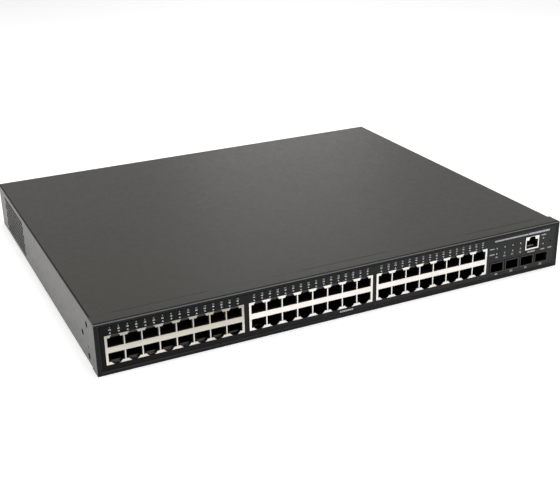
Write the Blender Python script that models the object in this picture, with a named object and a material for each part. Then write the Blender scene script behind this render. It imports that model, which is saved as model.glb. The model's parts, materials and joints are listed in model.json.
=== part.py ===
"""A 1U rackmount network switch: a sheet-steel case with its jacks, cages, boards, fans and power parts.

Front faces -Y, top faces +Z. Metres. The object's origin is on the floor under its middle.
"""

import math

import bmesh
import bpy
from mathutils import Matrix, Vector

MM = 0.001
GAP = 0.3

# Case
WIDTH = 440.0
DEPTH = 360.0
HEIGHT = 44.4
FRONT = -DEPTH / 2
REAR = DEPTH / 2
BEZEL_DEPTH = 14.6
BEZEL_WALL = 1.5
BEZEL_FACE = 3.4
STEP_DEPTH = 2.8
STEP_DROP = 1.2
SEAM = 0.5
SHEET = 1.0
COVER_HALF = 219.4
COVER_TOP = 44.2
BEND = 1.6
PAN = 1.2
PAN_HALF = 218.0
PAN_FLANGE = 3.0
HEAD = 1.6
LIP_FACE = REAR - HEAD
LIP_DROP = 8.0

# Front label, let into the bezel
LABEL_HALF = 215.6
LABEL_Z = (3.4, 41.2)
LABEL_THICK = 0.5
LABEL_INSET = 0.6

# Jack blocks: two rows of eight on the standard pitch
PITCH = 13.97
COLUMNS = 8
BLOCK_X = (-155.1, -36.1, 82.2)
BLOCK_HALF = 57.3
BLOCK_Z = (8.4, 33.3)
SHIELD = 0.5
HOUSING_DEPTH = 25.0
JACK_HALF = 6.0
JACK_UPPER = (23.7, 30.6)
JACK_LOWER = (11.1, 17.9)
WINDOW_EDGE = 0.5
NOTCH_HALF = (4.3, 1.8)
POCKET = 15.0

# Console jack
CONSOLE_X = 189.9
CONSOLE_HALF = 7.6
CONSOLE_Z = (22.7, 35.3)
CONSOLE_OPEN = (24.5, 31.5)

# SFP cages
CAGE_X = (151.5, 168.3, 185.0, 201.7)
CAGE_HALF = 7.5
CAGE_Z = (7.4, 17.5)
CAGE_WALL = 0.55
CAGE_DEPTH = 47.0

# Lights
PORT_LIGHT_Z = 37.4
STATUS_X = (150.7, 159.5, 168.4, 177.1)
STATUS_Z = (25.5, 30.9)
MODE_X = 203.1
LIGHT_HALF = 0.8
RESET_X = 211.4
RESET_Z = 26.8
RESET_HOLE = 0.8
RESET_TRAVEL = 0.4

# Boards
BOARD_Z = (5.3, 6.9)
BOARD_HALF = 213.5
BOARD_BACK = 20.0
STANDOFF_XY = ((-205, -120), (205, -120), (-205, 10), (205, 10))
SUPPLY_X = (-20.0, 165.0)
SUPPLY_Y = (62.0, 148.0)
SUPPLY_STANDOFF_XY = ((-13, 69), (158, 69), (-13, 141), (158, 141))

# Fans, behind the left vent
FAN = 40.0
FAN_THICK = 20.0
FAN_Y = (92.0, 138.0)
FAN_Z = 21.6
FAN_X = -206.0
ROTOR_RADIUS = 18.0
BLADES = 7

# Side vents: staggered six-sided holes
VENT_Y = {-1: (70.4, 150.0), 1: (70.4, 122.0)}
VENT_Z = (5.8, 36.9)
VENT_STEP_Y = 5.13
VENT_ROWS = 8
VENT_HOLE = 2.35

# Rack-ear screw holes in each side, as (distance from the front, height)
EAR_HOLES = ((23.7, 34.4), (38.5, 21.0), (23.9, 6.6))
EAR_HOLE = 2.6
PIN_HOLE = (23.7, 14.6)

# Rear
INLET_X = 140.0
INLET_Z = 21.5
EARTH_X = 98.0
EARTH_Z = 10.0
COVER_SCREW_X = (-150.0, 0.0, 150.0)
COVER_SCREW_Z = 39.2
PANEL_Y = (LIP_FACE - SHEET - GAP - PAN, LIP_FACE - SHEET - GAP)
SHIELD_BACK = FRONT + HOUSING_DEPTH + 0.5
CONSOLE_BOARD_Z = (20.4, 21.6)
BEHIND_FACE = FRONT + BEZEL_FACE + 0.4
RESET_Y = FRONT + 6.4
EDGE_SLOT_Y = (-13.0, -9.0)
SEAM_GAPS = ((-201.0, -122.0), (-39.0, 43.0), (126.0, 203.0))


def clear_scene():
    for obj in list(bpy.data.objects):
        bpy.data.objects.remove(obj, do_unlink=True)


def mesh_from(bm, name="piece"):
    mesh = bpy.data.meshes.new(name)
    bmesh.ops.recalc_face_normals(bm, faces=bm.faces)
    bm.to_mesh(mesh)
    bm.free()
    return mesh


def box(low, high):
    """A box between two corners, in millimetres."""
    low, high = Vector(low) * MM, Vector(high) * MM
    place = Matrix.Translation((low + high) / 2) @ Matrix.Diagonal((*(high - low), 1))
    bm = bmesh.new()
    bmesh.ops.create_cube(bm, size=1.0, matrix=place)
    return mesh_from(bm)


TURN = {
    "X": Matrix.Rotation(math.radians(90), 4, "Y"),
    "Y": Matrix.Rotation(math.radians(-90), 4, "X"),
    "Z": Matrix.Identity(4),
}


def rod(axis, centre, radius, length, sides=24, tip=None):
    """A cylinder or cone along an axis, centred on a point, in millimetres."""
    bm = bmesh.new()
    bmesh.ops.create_cone(
        bm,
        cap_ends=True,
        segments=sides,
        radius1=radius * MM,
        radius2=(radius if tip is None else tip) * MM,
        depth=length * MM,
        matrix=Matrix.Translation(Vector(centre) * MM) @ TURN[axis],
    )
    return mesh_from(bm)


# Where an outline's own two coordinates and its thickness lie in the object
PLACE = {
    "XZ": lambda u, v, w: (u * MM, w * MM, v * MM),
    "YZ": lambda u, v, w: (w * MM, u * MM, v * MM),
    "XY": lambda u, v, w: (u * MM, v * MM, w * MM),
}


def prisms(outlines, plane, start, end):
    """Closed outlines that stay clear of each other, each made thick between two stations."""
    place = PLACE[plane]
    bm = bmesh.new()
    for outline in outlines:
        bm.faces.new([bm.verts.new(place(u, v, start)) for u, v in outline])
    grown_part = bmesh.ops.extrude_face_region(bm, geom=bm.faces[:])["geom"]
    tops = [item for item in grown_part if isinstance(item, bmesh.types.BMVert)]
    reach = Vector(place(0, 0, end)) - Vector(place(0, 0, start))
    bmesh.ops.translate(bm, vec=reach, verts=tops)
    return mesh_from(bm)


def sheet(outlines, plane, start, end):
    """A plate with the first outline as its edge and the others as holes."""
    plate = prisms(outlines[:1], plane, start, end)
    if len(outlines) > 1:
        low, high = min(start, end) - 1, max(start, end) + 1
        plate = cut(plate, prisms(outlines[1:], plane, low, high))
    return plate


def rectangle(u, v):
    return [(u[0], v[0]), (u[1], v[0]), (u[1], v[1]), (u[0], v[1])]


def polygon(u, v, radius, sides, turn=0.0):
    step = 2 * math.pi / sides
    return [(u + radius * math.cos(turn + i * step), v + radius * math.sin(turn + i * step)) for i in range(sides)]


def arc(u, v, radius, start, end, steps=4):
    angles = [math.radians(start + (end - start) * i / steps) for i in range(steps + 1)]
    return [(u + radius * math.cos(a), v + radius * math.sin(a)) for a in angles]


def together(meshes):
    """Meshes that don't touch, as one mesh."""
    bm = bmesh.new()
    for mesh in meshes:
        bm.from_mesh(mesh)
    return mesh_from(bm)


def combine(base, tools, operation):
    """A Boolean of a mesh with each tool in turn."""
    for tool in tools:
        held = bpy.data.objects.new("held", base)
        cutter = bpy.data.objects.new("cutter", tool)
        for helper in (held, cutter):
            bpy.context.scene.collection.objects.link(helper)
        modifier = held.modifiers.new("join", "BOOLEAN")
        modifier.operation = operation
        modifier.solver = "EXACT"
        modifier.object = cutter
        bpy.context.view_layer.update()
        graph = bpy.context.evaluated_depsgraph_get()
        base = bpy.data.meshes.new_from_object(held.evaluated_get(graph))
        for helper in (held, cutter):
            bpy.data.objects.remove(helper)
    return base


def cut(base, *tools):
    return combine(base, tools, "DIFFERENCE")


def join(base, *tools):
    return combine(base, tools, "UNION")


def material(name, colour, metallic, roughness):
    made = bpy.data.materials.new(name)
    made.use_nodes = True
    shader = made.node_tree.nodes["Principled BSDF"]
    shader.inputs["Base Color"].default_value = (*colour, 1)
    shader.inputs["Metallic"].default_value = metallic
    shader.inputs["Roughness"].default_value = roughness
    made.diffuse_color = (*colour, 1)
    return made


clear_scene()
MAIN = bpy.data.collections.new("rackmount_network_switch")
bpy.context.scene.collection.children.link(MAIN)

LOOKS = {
    "paint": ((0.045, 0.047, 0.047), 0.0, 0.5),
    "front_paint": ((0.02, 0.022, 0.025), 0.0, 0.45),
    "label": ((0.018, 0.02, 0.023), 0.0, 0.35),
    "tin": ((0.72, 0.69, 0.64), 1.0, 0.35),
    "zinc": ((0.55, 0.56, 0.56), 1.0, 0.45),
    "black_plastic": ((0.012, 0.012, 0.012), 0.0, 0.45),
    "clear_plastic": ((0.75, 0.78, 0.78), 0.0, 0.2),
    "white_plastic": ((0.7, 0.68, 0.6), 0.0, 0.45),
    "board_green": ((0.01, 0.09, 0.03), 0.0, 0.45),
    "aluminium": ((0.6, 0.6, 0.61), 1.0, 0.4),
    "black_anodised": ((0.02, 0.02, 0.022), 0.5, 0.5),
    "tape_yellow": ((0.65, 0.42, 0.05), 0.0, 0.5),
    "can_black": ((0.015, 0.015, 0.03), 0.0, 0.35),
    "copper": ((0.6, 0.25, 0.1), 1.0, 0.4),
}


def empty(name, place, parent=None):
    helper = bpy.data.objects.new(name, None)
    helper.empty_display_size = 0.02
    helper.location = Vector(place) * MM
    helper.parent = parent
    MAIN.objects.link(helper)
    return helper


ROOT = empty("switch", (0, 0, 0))


def node(name, mesh, look, place=None, parent=ROOT):
    """A named piece. With no place, its mesh is drawn in the object's own frame, and its origin goes to its middle."""
    if place is None:
        corners = [vertex.co for vertex in mesh.vertices]
        low = Vector(min(c[i] for c in corners) for i in range(3))
        high = Vector(max(c[i] for c in corners) for i in range(3))
        place = (low + high) / 2 / MM
        mesh.transform(Matrix.Translation(-(low + high) / 2))
    mesh.name = name
    mesh.shade_smooth()
    mesh.set_sharp_from_angle(angle=math.radians(30))
    obj = bpy.data.objects.new(name, mesh)
    obj.location = Vector(place) * MM
    obj.parent = parent
    obj.data.materials.clear()
    obj.data.materials.append(None)
    obj.material_slots[0].link = "OBJECT"
    obj.material_slots[0].material = material(name + "_finish", *LOOKS[look])
    MAIN.objects.link(obj)
    return obj


def screw():
    """A pan-head screw along Y, its head's underside at y = 0 and its point towards -Y."""
    head = rod("Y", (0, 0.65, 0), 2.6, 1.3, sides=16, tip=3.0)
    shank = rod("Y", (0, -3.0, 0), 1.4, 6.4, sides=12)
    slot = sheet([polygon(0, 0, 1.2, 6)], "XZ", 0.6, 2.0)
    return cut(join(head, shank), slot)


def jack_outline(x, low, high, notch_end, edge=0.0):
    """The opening of one jack: a rectangle with a narrowing latch notch above or below it."""
    wide, narrow = NOTCH_HALF
    half = JACK_HALF + edge
    upward = notch_end > high
    near, far = (high + edge, low - edge) if upward else (low - edge, high + edge)
    return [
        (x - half, far),
        (x + half, far),
        (x + half, near),
        (x + wide, near),
        (x + narrow, notch_end),
        (x - narrow, notch_end),
        (x - wide, near),
        (x - half, near),
    ]


def block_outlines(reach, edge=0.0):
    """The sixteen jack outlines of a block, about its middle, each grown by an edge."""
    outlines = []
    for column in range(COLUMNS):
        x = (column - (COLUMNS - 1) / 2) * PITCH
        outlines.append(jack_outline(x, *JACK_UPPER, BLOCK_Z[1] - reach, edge))
        outlines.append(jack_outline(x, *JACK_LOWER, BLOCK_Z[0] + reach, edge))
    return outlines


def grown(u, v, by):
    return rectangle((u[0] - by, u[1] + by), (v[0] - by, v[1] + by))


def span(middle, half):
    return (middle - half, middle + half)


# Sheet-metal case

def base_pan():
    outline = [
        (-PAN_HALF, 0),
        (PAN_HALF, 0),
        (PAN_HALF, PAN_FLANGE),
        (PAN_HALF - PAN, PAN_FLANGE),
        (PAN_HALF - PAN, PAN),
        (PAN - PAN_HALF, PAN),
        (PAN - PAN_HALF, PAN_FLANGE),
        (-PAN_HALF, PAN_FLANGE),
    ]
    return sheet([outline], "XZ", FRONT + BEZEL_DEPTH + SEAM, LIP_FACE - SHEET - GAP)


def front_panel():
    """A shallow tray whose front top edge is stepped back, with a recess for the label and windows in its face."""
    back = FRONT + BEZEL_DEPTH
    step, ledge = FRONT + STEP_DEPTH, HEIGHT - STEP_DROP
    outline = [(back, 0.0), *arc(FRONT + 0.4, 0.4, 0.4, 270, 180, 2)]
    outline += [*arc(FRONT + 0.6, ledge - 0.6, 0.6, 180, 90, 3), (step, ledge), (step, HEIGHT), (back, HEIGHT)]
    shell = sheet([outline], "YZ", -WIDTH / 2, WIDTH / 2)
    inside = WIDTH / 2 - BEZEL_WALL
    hollow = box((-inside, FRONT + BEZEL_FACE, BEZEL_WALL), (inside, back + 1, HEIGHT - BEZEL_WALL))
    recess = sheet([grown((-LABEL_HALF, LABEL_HALF), LABEL_Z, GAP)], "XZ", FRONT - 1, label_back() + GAP)
    windows = [grown(span(x, BLOCK_HALF), (BLOCK_Z[0], PORT_LIGHT_Z + 1.3), GAP) for x in BLOCK_X]
    windows += [grown(span(x, CAGE_HALF), CAGE_Z, GAP) for x in CAGE_X]
    windows.append(grown(span(CONSOLE_X, CONSOLE_HALF), CONSOLE_Z, GAP))
    windows.append(grown((STATUS_X[0], STATUS_X[-1]), STATUS_Z, 1.6))
    windows.append(grown((MODE_X, MODE_X), STATUS_Z, 1.6))
    windows.append(polygon(RESET_X, RESET_Z, RESET_HOLE, 10))
    shell = cut(shell, hollow, recess, prisms(windows, "XZ", FRONT - 1, FRONT + BEZEL_FACE + 1))
    for low, high in SEAM_GAPS:
        joggle = box((low, back - 6, HEIGHT - 2.9), (high, back - 1, HEIGHT - 1))
        tongue = box((low, back - 6, HEIGHT - 2.9), (high, back + 8, HEIGHT - 1.9))
        shell = join(shell, join(joggle, tongue))
    return shell


def label_back():
    return FRONT + LABEL_INSET + LABEL_THICK


def front_label():
    outlines = [rectangle((-LABEL_HALF, LABEL_HALF), LABEL_Z)]
    outlines += [grown(span(x, BLOCK_HALF), BLOCK_Z, GAP) for x in BLOCK_X]
    outlines += [grown(span(x, CAGE_HALF), CAGE_Z, GAP) for x in CAGE_X]
    outlines.append(grown(span(CONSOLE_X, CONSOLE_HALF), CONSOLE_Z, GAP))
    outlines.append(polygon(RESET_X, RESET_Z, RESET_HOLE, 10))
    return sheet(outlines, "XZ", FRONT + LABEL_INSET, label_back())


def vent_holes(first, last):
    """Six-sided holes in staggered rows, as outlines along and up a side."""
    holes = []
    rise = (VENT_Z[1] - VENT_Z[0]) / (VENT_ROWS - 1)
    for row in range(VENT_ROWS):
        y = first + (row % 2) * VENT_STEP_Y / 2
        while y <= last:
            holes.append(polygon(y, VENT_Z[0] + row * rise, VENT_HOLE, 6, math.pi / 6))
            y += VENT_STEP_Y
    return holes


def top_cover():
    half, top, r = COVER_HALF, COVER_TOP, BEND
    outline = [(half, GAP), *arc(half - r, top - r, r, 0, 90)]
    outline += [*arc(r - half, top - r, r, 90, 180), (-half, GAP)]
    outline += [(SHEET - half, GAP), *arc(r - half, top - r, r - SHEET, 180, 90)]
    outline += [*arc(half - r, top - r, r - SHEET, 90, 0), (half - SHEET, GAP)]
    start = FRONT + BEZEL_DEPTH + SEAM
    cover = sheet([outline], "XZ", start, LIP_FACE)
    lip = box((r - half, LIP_FACE - SHEET, top - LIP_DROP), (half - r, LIP_FACE, top - 0.4))
    cover = join(cover, lip)
    edge = [box((low, start - 1, top - 3), (high, start + 1.0, top + 1)) for low, high in SEAM_GAPS]
    screws = prisms([polygon(x, COVER_SCREW_Z, 1.7, 12) for x in COVER_SCREW_X], "XZ", LIP_FACE - 2, REAR)
    holes = [polygon(FRONT + y, z, EAR_HOLE, 12) for y, z in EAR_HOLES]
    holes.append(polygon(FRONT + PIN_HOLE[0], PIN_HOLE[1], 0.8, 8))
    holes.append(rectangle(EDGE_SLOT_Y, (1.2, 2.6)))
    sides = [
        prisms(holes + vent_holes(*VENT_Y[side]), "YZ", side * (half + 1), side * (half - 4))
        for side in (-1, 1)
    ]
    return cut(cover, together(edge), screws, together(sides))


def rear_panel():
    half = PAN_HALF - PAN - GAP
    outlines = [rectangle((-half, half), (PAN + GAP, COVER_TOP - SHEET - GAP))]
    outlines.append(grown(span(INLET_X, 13.7), span(INLET_Z, 10.0), GAP))
    outlines += [polygon(x, COVER_SCREW_Z, 1.7, 12) for x in COVER_SCREW_X]
    outlines.append(polygon(EARTH_X, EARTH_Z, 1.7, 12))
    return sheet(outlines, "XZ", PANEL_Y[0], PANEL_Y[1])


# Jacks and cages

def jack_shield():
    outer = rectangle((-BLOCK_HALF, BLOCK_HALF), BLOCK_Z)
    face = sheet([outer, *block_outlines(SHIELD, WINDOW_EDGE)], "XZ", FRONT, FRONT + SHIELD)
    sleeve = sheet([outer, grown((-BLOCK_HALF, BLOCK_HALF), BLOCK_Z, -SHIELD)], "XZ", FRONT + 0.2, SHIELD_BACK)
    return join(face, sleeve)


def jack_housing():
    inset = SHIELD + GAP
    low, high = BLOCK_Z[0] + inset, BLOCK_Z[1] - inset
    start = FRONT + inset
    body = box((-BLOCK_HALF + inset, start, low), (BLOCK_HALF - inset, FRONT + HOUSING_DEPTH, high))
    return cut(body, prisms(block_outlines(SHIELD), "XZ", FRONT - 1, start + POCKET))


def console_outline(edge=0.0):
    return jack_outline(0, *CONSOLE_OPEN, CONSOLE_Z[1] - SHIELD, edge)


def console_shield():
    half = CONSOLE_HALF
    outer = rectangle((-half, half), CONSOLE_Z)
    face = sheet([outer, console_outline(WINDOW_EDGE)], "XZ", FRONT, FRONT + SHIELD)
    sleeve = sheet([outer, grown((-half, half), CONSOLE_Z, -SHIELD)], "XZ", FRONT + 0.2, FRONT + 21)
    return join(face, sleeve)


def console_housing():
    inset = SHIELD + GAP
    start = FRONT + inset
    low, high = CONSOLE_Z[0] + inset, CONSOLE_Z[1] - inset
    body = box((-CONSOLE_HALF + inset, start, low), (CONSOLE_HALF - inset, FRONT + 20, high))
    return cut(body, sheet([console_outline()], "XZ", FRONT - 1, start + 13))


def sfp_cage():
    outer = box((-CAGE_HALF, FRONT + 0.05, CAGE_Z[0]), (CAGE_HALF, FRONT + CAGE_DEPTH, CAGE_Z[1]))
    w = CAGE_WALL
    mouth = box(
        (w - CAGE_HALF, FRONT - 1, CAGE_Z[0] + w),
        (CAGE_HALF - w, FRONT + CAGE_DEPTH - w, CAGE_Z[1] - w),
    )
    return cut(outer, mouth)


# Light pipes: teeth that end just behind the label, on a bar with legs down to the board

def teeth(places, root):
    h = LIGHT_HALF
    return [box((x - h, label_back() + GAP, z - h), (x + h, root, z + h)) for x, z in places]


def port_light_pipe():
    z = PORT_LIGHT_Z
    bar = box((-55.5, BEHIND_FACE, z - 0.7), (55.5, SHIELD_BACK + 2.0, z + 0.7))
    for x in (-45, -15, 15, 45):
        leg = box((x - 4, SHIELD_BACK + 0.5, BOARD_Z[1] + GAP), (x + 4, SHIELD_BACK + 2.0, z))
        bar = join(bar, leg)
    row = [((i - 7.5) * PITCH / 2, z) for i in range(2 * COLUMNS)]
    for tooth in teeth(row, BEHIND_FACE + 1.0):
        bar = join(bar, tooth)
    return bar


def status_light_pipe():
    front = BEHIND_FACE
    back = FRONT + CAGE_DEPTH + 2
    wide = (STATUS_X[0] - 1.2, STATUS_X[-1] + 1.0)
    top = STATUS_Z[1] + 1.2
    pipe = box((wide[0], front, STATUS_Z[0] - 1.2), (wide[1], front + 1.5, top))
    pipe = join(pipe, box((wide[0], front + 0.5, top - 1.6), (wide[1], back, top)))
    pipe = join(pipe, box((wide[0], back - 1.5, BOARD_Z[1] + GAP), (wide[1], back, top - 0.5)))
    places = [(x, z) for x in STATUS_X for z in STATUS_Z]
    return join(pipe, *teeth(places, front + 1))


def mode_light_pipe():
    front = BEHIND_FACE
    low = CONSOLE_BOARD_Z[1] + GAP
    pipe = box((MODE_X - 1, front, low), (MODE_X + 1, front + 3, STATUS_Z[1] + 1.2))
    return join(pipe, *teeth([(MODE_X, z) for z in STATUS_Z], front + 1))


# Boards and what they carry

def board(x, y, holes):
    outlines = [rectangle(x, y)]
    outlines += [polygon(u, v, 1.7, 8) for u, v in holes]
    return sheet(outlines, "XY", *BOARD_Z)


def heatsink(wide, deep, tall, fins):
    """A finned block on z = 0, its fins running front to back."""
    base = 2.5
    step = (wide - 1.2) / (fins - 1)
    outline = [(-wide / 2, 0), (wide / 2, 0)]
    for i in range(fins):
        right = wide / 2 - i * step
        outline += [(right, tall), (right - 1.2, tall)]
        if i < fins - 1:
            outline += [(right - 1.2, base), (right - step, base)]
    return sheet([outline], "XZ", -deep / 2, deep / 2)


def transformer():
    core = box((-17, -14, 0), (17, 14, 24))
    winding = box((-11, -19, 4), (11, 19, 20))
    return join(core, winding)


def choke():
    ring = rod("Y", (0, 0, 11), 11, 10, sides=20)
    hole = rod("Y", (0, 0, 11), 5, 14, sides=16)
    foot = box((-7, -5.2, 0), (7, 5.2, 2.5))
    return join(cut(ring, hole), foot)


# Power inlet: a flanged body with a recess and three blades

def power_inlet():
    face = LIP_FACE + 1.0
    flange = box((-15.5, PANEL_Y[1] + GAP, -12), (15.5, face, 12))
    body = box((-13.7, face - 27, -10), (13.7, face - 1, 10))
    recess = box((-12.1, face - 17, -8.3), (12.1, face + 1, 8.3))
    inlet = cut(join(flange, body), recess)
    for x, z, reach in ((-7, -1.5, 3.5), (7, -1.5, 3.5), (0, 3.0, 1.5)):
        inlet = join(inlet, box((x - 1, face - 18, z - 2), (x + 1, face - reach, z + 2)))
    return inlet


# Fans: frame with a motor boss and pin on its outer side, and a rotor on the pin. Both lie about the axis, X.

def fan_frame():
    half, bore = FAN / 2, ROTOR_RADIUS + 0.8
    outlines = [rectangle((-half, half), (-half, half)), polygon(0, 0, bore, 32)]
    outlines += [polygon(a * 16, b * 16, 2.1, 8) for a in (-1, 1) for b in (-1, 1)]
    ends = (-FAN_THICK / 2, FAN_THICK / 2)
    frame = sheet(outlines, "YZ", *ends)
    hub = rod("X", (ends[0] + 1.25, 0, 0), 10, 2.5, sides=20)
    pin = rod("X", (ends[0] + 8, 0, 0), 1.5, 12, sides=12)
    for angle in (45, 135, 225, 315):
        strut = box((ends[0], 8, -1.0), (ends[0] + 2.0, bore + 0.6, 1.0))
        strut.transform(Matrix.Rotation(math.radians(angle), 4, "X"))
        hub = join(hub, strut)
    return join(frame, join(hub, pin))


def fan_rotor():
    hub = rod("X", (1.3, 0, 0), 10, 14.4, sides=24)
    blades = []
    for i in range(BLADES):
        blade = box((-6.5, 9.0, -0.6), (6.5, ROTOR_RADIUS - 0.4, 0.6))
        blade.transform(Matrix.Rotation(math.radians(38), 4, "Y"))
        blade.transform(Matrix.Translation((1.3 * MM, 0, 0)))
        blade.transform(Matrix.Rotation(2 * math.pi * i / BLADES, 4, "X"))
        blades.append(blade)
    bore = rod("X", (-2.5, 0, 0), 1.8, 14, sides=12)
    return cut(join(hub, *blades), bore)


# Assembly

node("base_pan", base_pan(), "zinc")
node("front_panel", front_panel(), "front_paint")
node("front_label", front_label(), "label")
node("top_cover", top_cover(), "paint")
node("rear_panel", rear_panel(), "paint")

HOUSING = jack_housing()
SHIELD_MESH = jack_shield()
PIPE = port_light_pipe()
for number, x in enumerate(BLOCK_X, 1):
    node(f"jack_housing_{number}", HOUSING, "black_plastic", (x, 0, 0))
    node(f"jack_shield_{number}", SHIELD_MESH, "tin", (x, 0, 0))
    node(f"port_light_pipe_{number}", PIPE, "clear_plastic", (x, 0, 0))

node("console_jack_housing", console_housing(), "black_plastic", (CONSOLE_X, 0, 0))
node("console_jack_shield", console_shield(), "tin", (CONSOLE_X, 0, 0))
node("status_light_pipe", status_light_pipe(), "clear_plastic")
node("mode_light_pipe", mode_light_pipe(), "clear_plastic")

CAGE = sfp_cage()
for number, x in enumerate(CAGE_X, 1):
    node(f"sfp_cage_{number}", CAGE, "zinc", (x, 0, 0))

# The console board stands over the cages; a pin header at its back edge reaches the main board
console_board = join(
    box((181.5, BEHIND_FACE, CONSOLE_BOARD_Z[0]), (217, FRONT + 56, CONSOLE_BOARD_Z[1])),
    box((186, FRONT + 51, BOARD_Z[1] + GAP), (214, FRONT + 55, CONSOLE_BOARD_Z[0] + 0.5)),
)
node("console_board", console_board, "board_green")

switch_low = CONSOLE_BOARD_Z[1] + GAP
reset_switch = cut(
    box((RESET_X - 3, RESET_Y, switch_low), (RESET_X + 3, RESET_Y + 3.6, switch_low + 7.6)),
    rod("Y", (RESET_X, RESET_Y, RESET_Z), 1.5, 3.4, sides=16),
)
node("reset_switch", reset_switch, "black_plastic")
reset_button = rod("Y", (0, 0, 0), 1.2, 3.2, sides=16)
node("reset_button", reset_button, "white_plastic", (RESET_X, RESET_Y - 0.9, RESET_Z))

node("main_board", board((-BOARD_HALF, BOARD_HALF), (BEHIND_FACE, BOARD_BACK), STANDOFF_XY), "board_green")
node("power_board", board(SUPPLY_X, SUPPLY_Y, SUPPLY_STANDOFF_XY), "board_green")
stand = rod("Z", (0, 0, 3.25), 3.0, 3.5, sides=6)
for number, (x, y) in enumerate(STANDOFF_XY, 1):
    node(f"board_standoff_{number}", stand, "zinc", (x, y, 0))
for number, (x, y) in enumerate(SUPPLY_STANDOFF_XY, 1):
    node(f"power_standoff_{number}", stand, "zinc", (x, y, 0))

DECK = BOARD_Z[1] + GAP
CHIPS = (
    ("switch_chip_1", -100.0, -70.0, 31.0),
    ("switch_chip_2", 30.0, -70.0, 31.0),
    ("processor_chip", 140.0, -55.0, 23.0),
)
SINKS = (("switch_heatsink_1", 50.0, 12), ("switch_heatsink_2", 50.0, 12), ("processor_heatsink", 36.0, 9))
for (chip, x, y, side), (sink, wide, fins) in zip(CHIPS, SINKS):
    node(chip, box((-side / 2, -side / 2, 0), (side / 2, side / 2, 2.2)), "black_plastic", (x, y, DECK))
    node(sink, heatsink(wide, wide, 14, fins), "black_anodised", (x, y, DECK + 2.2 + GAP))

link = box((-14, -3.5, 0), (14, 3.5, 11))
node("power_link_socket", link, "white_plastic", (40, BOARD_BACK - 6, DECK))
node("transformer", transformer(), "tape_yellow", (60, 104, DECK))
node("bulk_capacitor", rod("X", (0, 0, 11), 10.5, 34, sides=24), "can_black", (112, 128, DECK))
node("line_choke", choke(), "copper", (147, 112, DECK))
node("power_heatsink", box((-30, -1.5, 0), (30, 1.5, 24)), "aluminium", (112, 76, DECK))
for number, y in enumerate((84.0, 104.0, 124.0), 1):
    node(f"output_capacitor_{number}", rod("Z", (0, 0, 10), 6.0, 20, sides=20), "can_black", (8, y, DECK))

node("power_inlet", power_inlet(), "black_plastic", (INLET_X, 0, INLET_Z))
SCREW = screw()
for number, x in enumerate(COVER_SCREW_X, 1):
    node(f"cover_screw_{number}", SCREW, "zinc", (x, LIP_FACE + GAP, COVER_SCREW_Z))
node("earth_screw", SCREW, "zinc", (EARTH_X, PANEL_Y[1] + GAP, EARTH_Z))

FRAME = fan_frame()
ROTOR = fan_rotor()
for number, y in enumerate(FAN_Y, 1):
    axis = empty(f"fan_{number}_axis", (FAN_X, y, FAN_Z), ROOT)
    node(f"fan_frame_{number}", FRAME, "black_plastic", (FAN_X, y, FAN_Z))
    node(f"fan_rotor_{number}", ROTOR, "black_plastic", (0, 0, 0), axis)
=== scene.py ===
"""Looks for the rackmount network switch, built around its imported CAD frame.

Lengths are in millimetres, and the mesh tools turn them into metres; only the camera and the lamps are placed
in metres. The front faces -Y and the top +Z.
"""

import json
import math
from collections import namedtuple
from itertools import cycle

import bmesh
import bpy
from mathutils import Matrix, Vector


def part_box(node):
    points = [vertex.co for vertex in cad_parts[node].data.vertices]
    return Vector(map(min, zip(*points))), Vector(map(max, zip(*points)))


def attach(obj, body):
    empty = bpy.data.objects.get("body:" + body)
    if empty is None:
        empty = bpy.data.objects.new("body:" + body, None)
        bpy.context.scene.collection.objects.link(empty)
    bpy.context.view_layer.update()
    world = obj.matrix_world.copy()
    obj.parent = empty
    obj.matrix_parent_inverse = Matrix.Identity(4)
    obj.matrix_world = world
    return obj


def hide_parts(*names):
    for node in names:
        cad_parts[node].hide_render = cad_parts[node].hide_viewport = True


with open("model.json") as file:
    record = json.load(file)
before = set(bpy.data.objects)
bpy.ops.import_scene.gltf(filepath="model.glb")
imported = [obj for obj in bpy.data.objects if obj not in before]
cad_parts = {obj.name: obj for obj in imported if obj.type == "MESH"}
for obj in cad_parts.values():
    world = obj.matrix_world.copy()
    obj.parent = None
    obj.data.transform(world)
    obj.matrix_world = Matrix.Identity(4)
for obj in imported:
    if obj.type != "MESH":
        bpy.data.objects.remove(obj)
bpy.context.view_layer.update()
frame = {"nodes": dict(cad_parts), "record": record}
MM = 0.001
BODY = "switch"
SLOT_OF = {part["node"]: part["material_slot"] for part in frame["record"]["subparts"]}

Point = namedtuple("Point", "x y z")


def span(node):
    """The low and high corners of a CAD node."""
    return [Point(*(value / MM for value in corner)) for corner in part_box(node)]


def middle(node):
    low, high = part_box(node)
    return Point(*(value / MM for value in (low + high) / 2))


FRONT = span("front_panel")[0].y

# ---- materials


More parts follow.
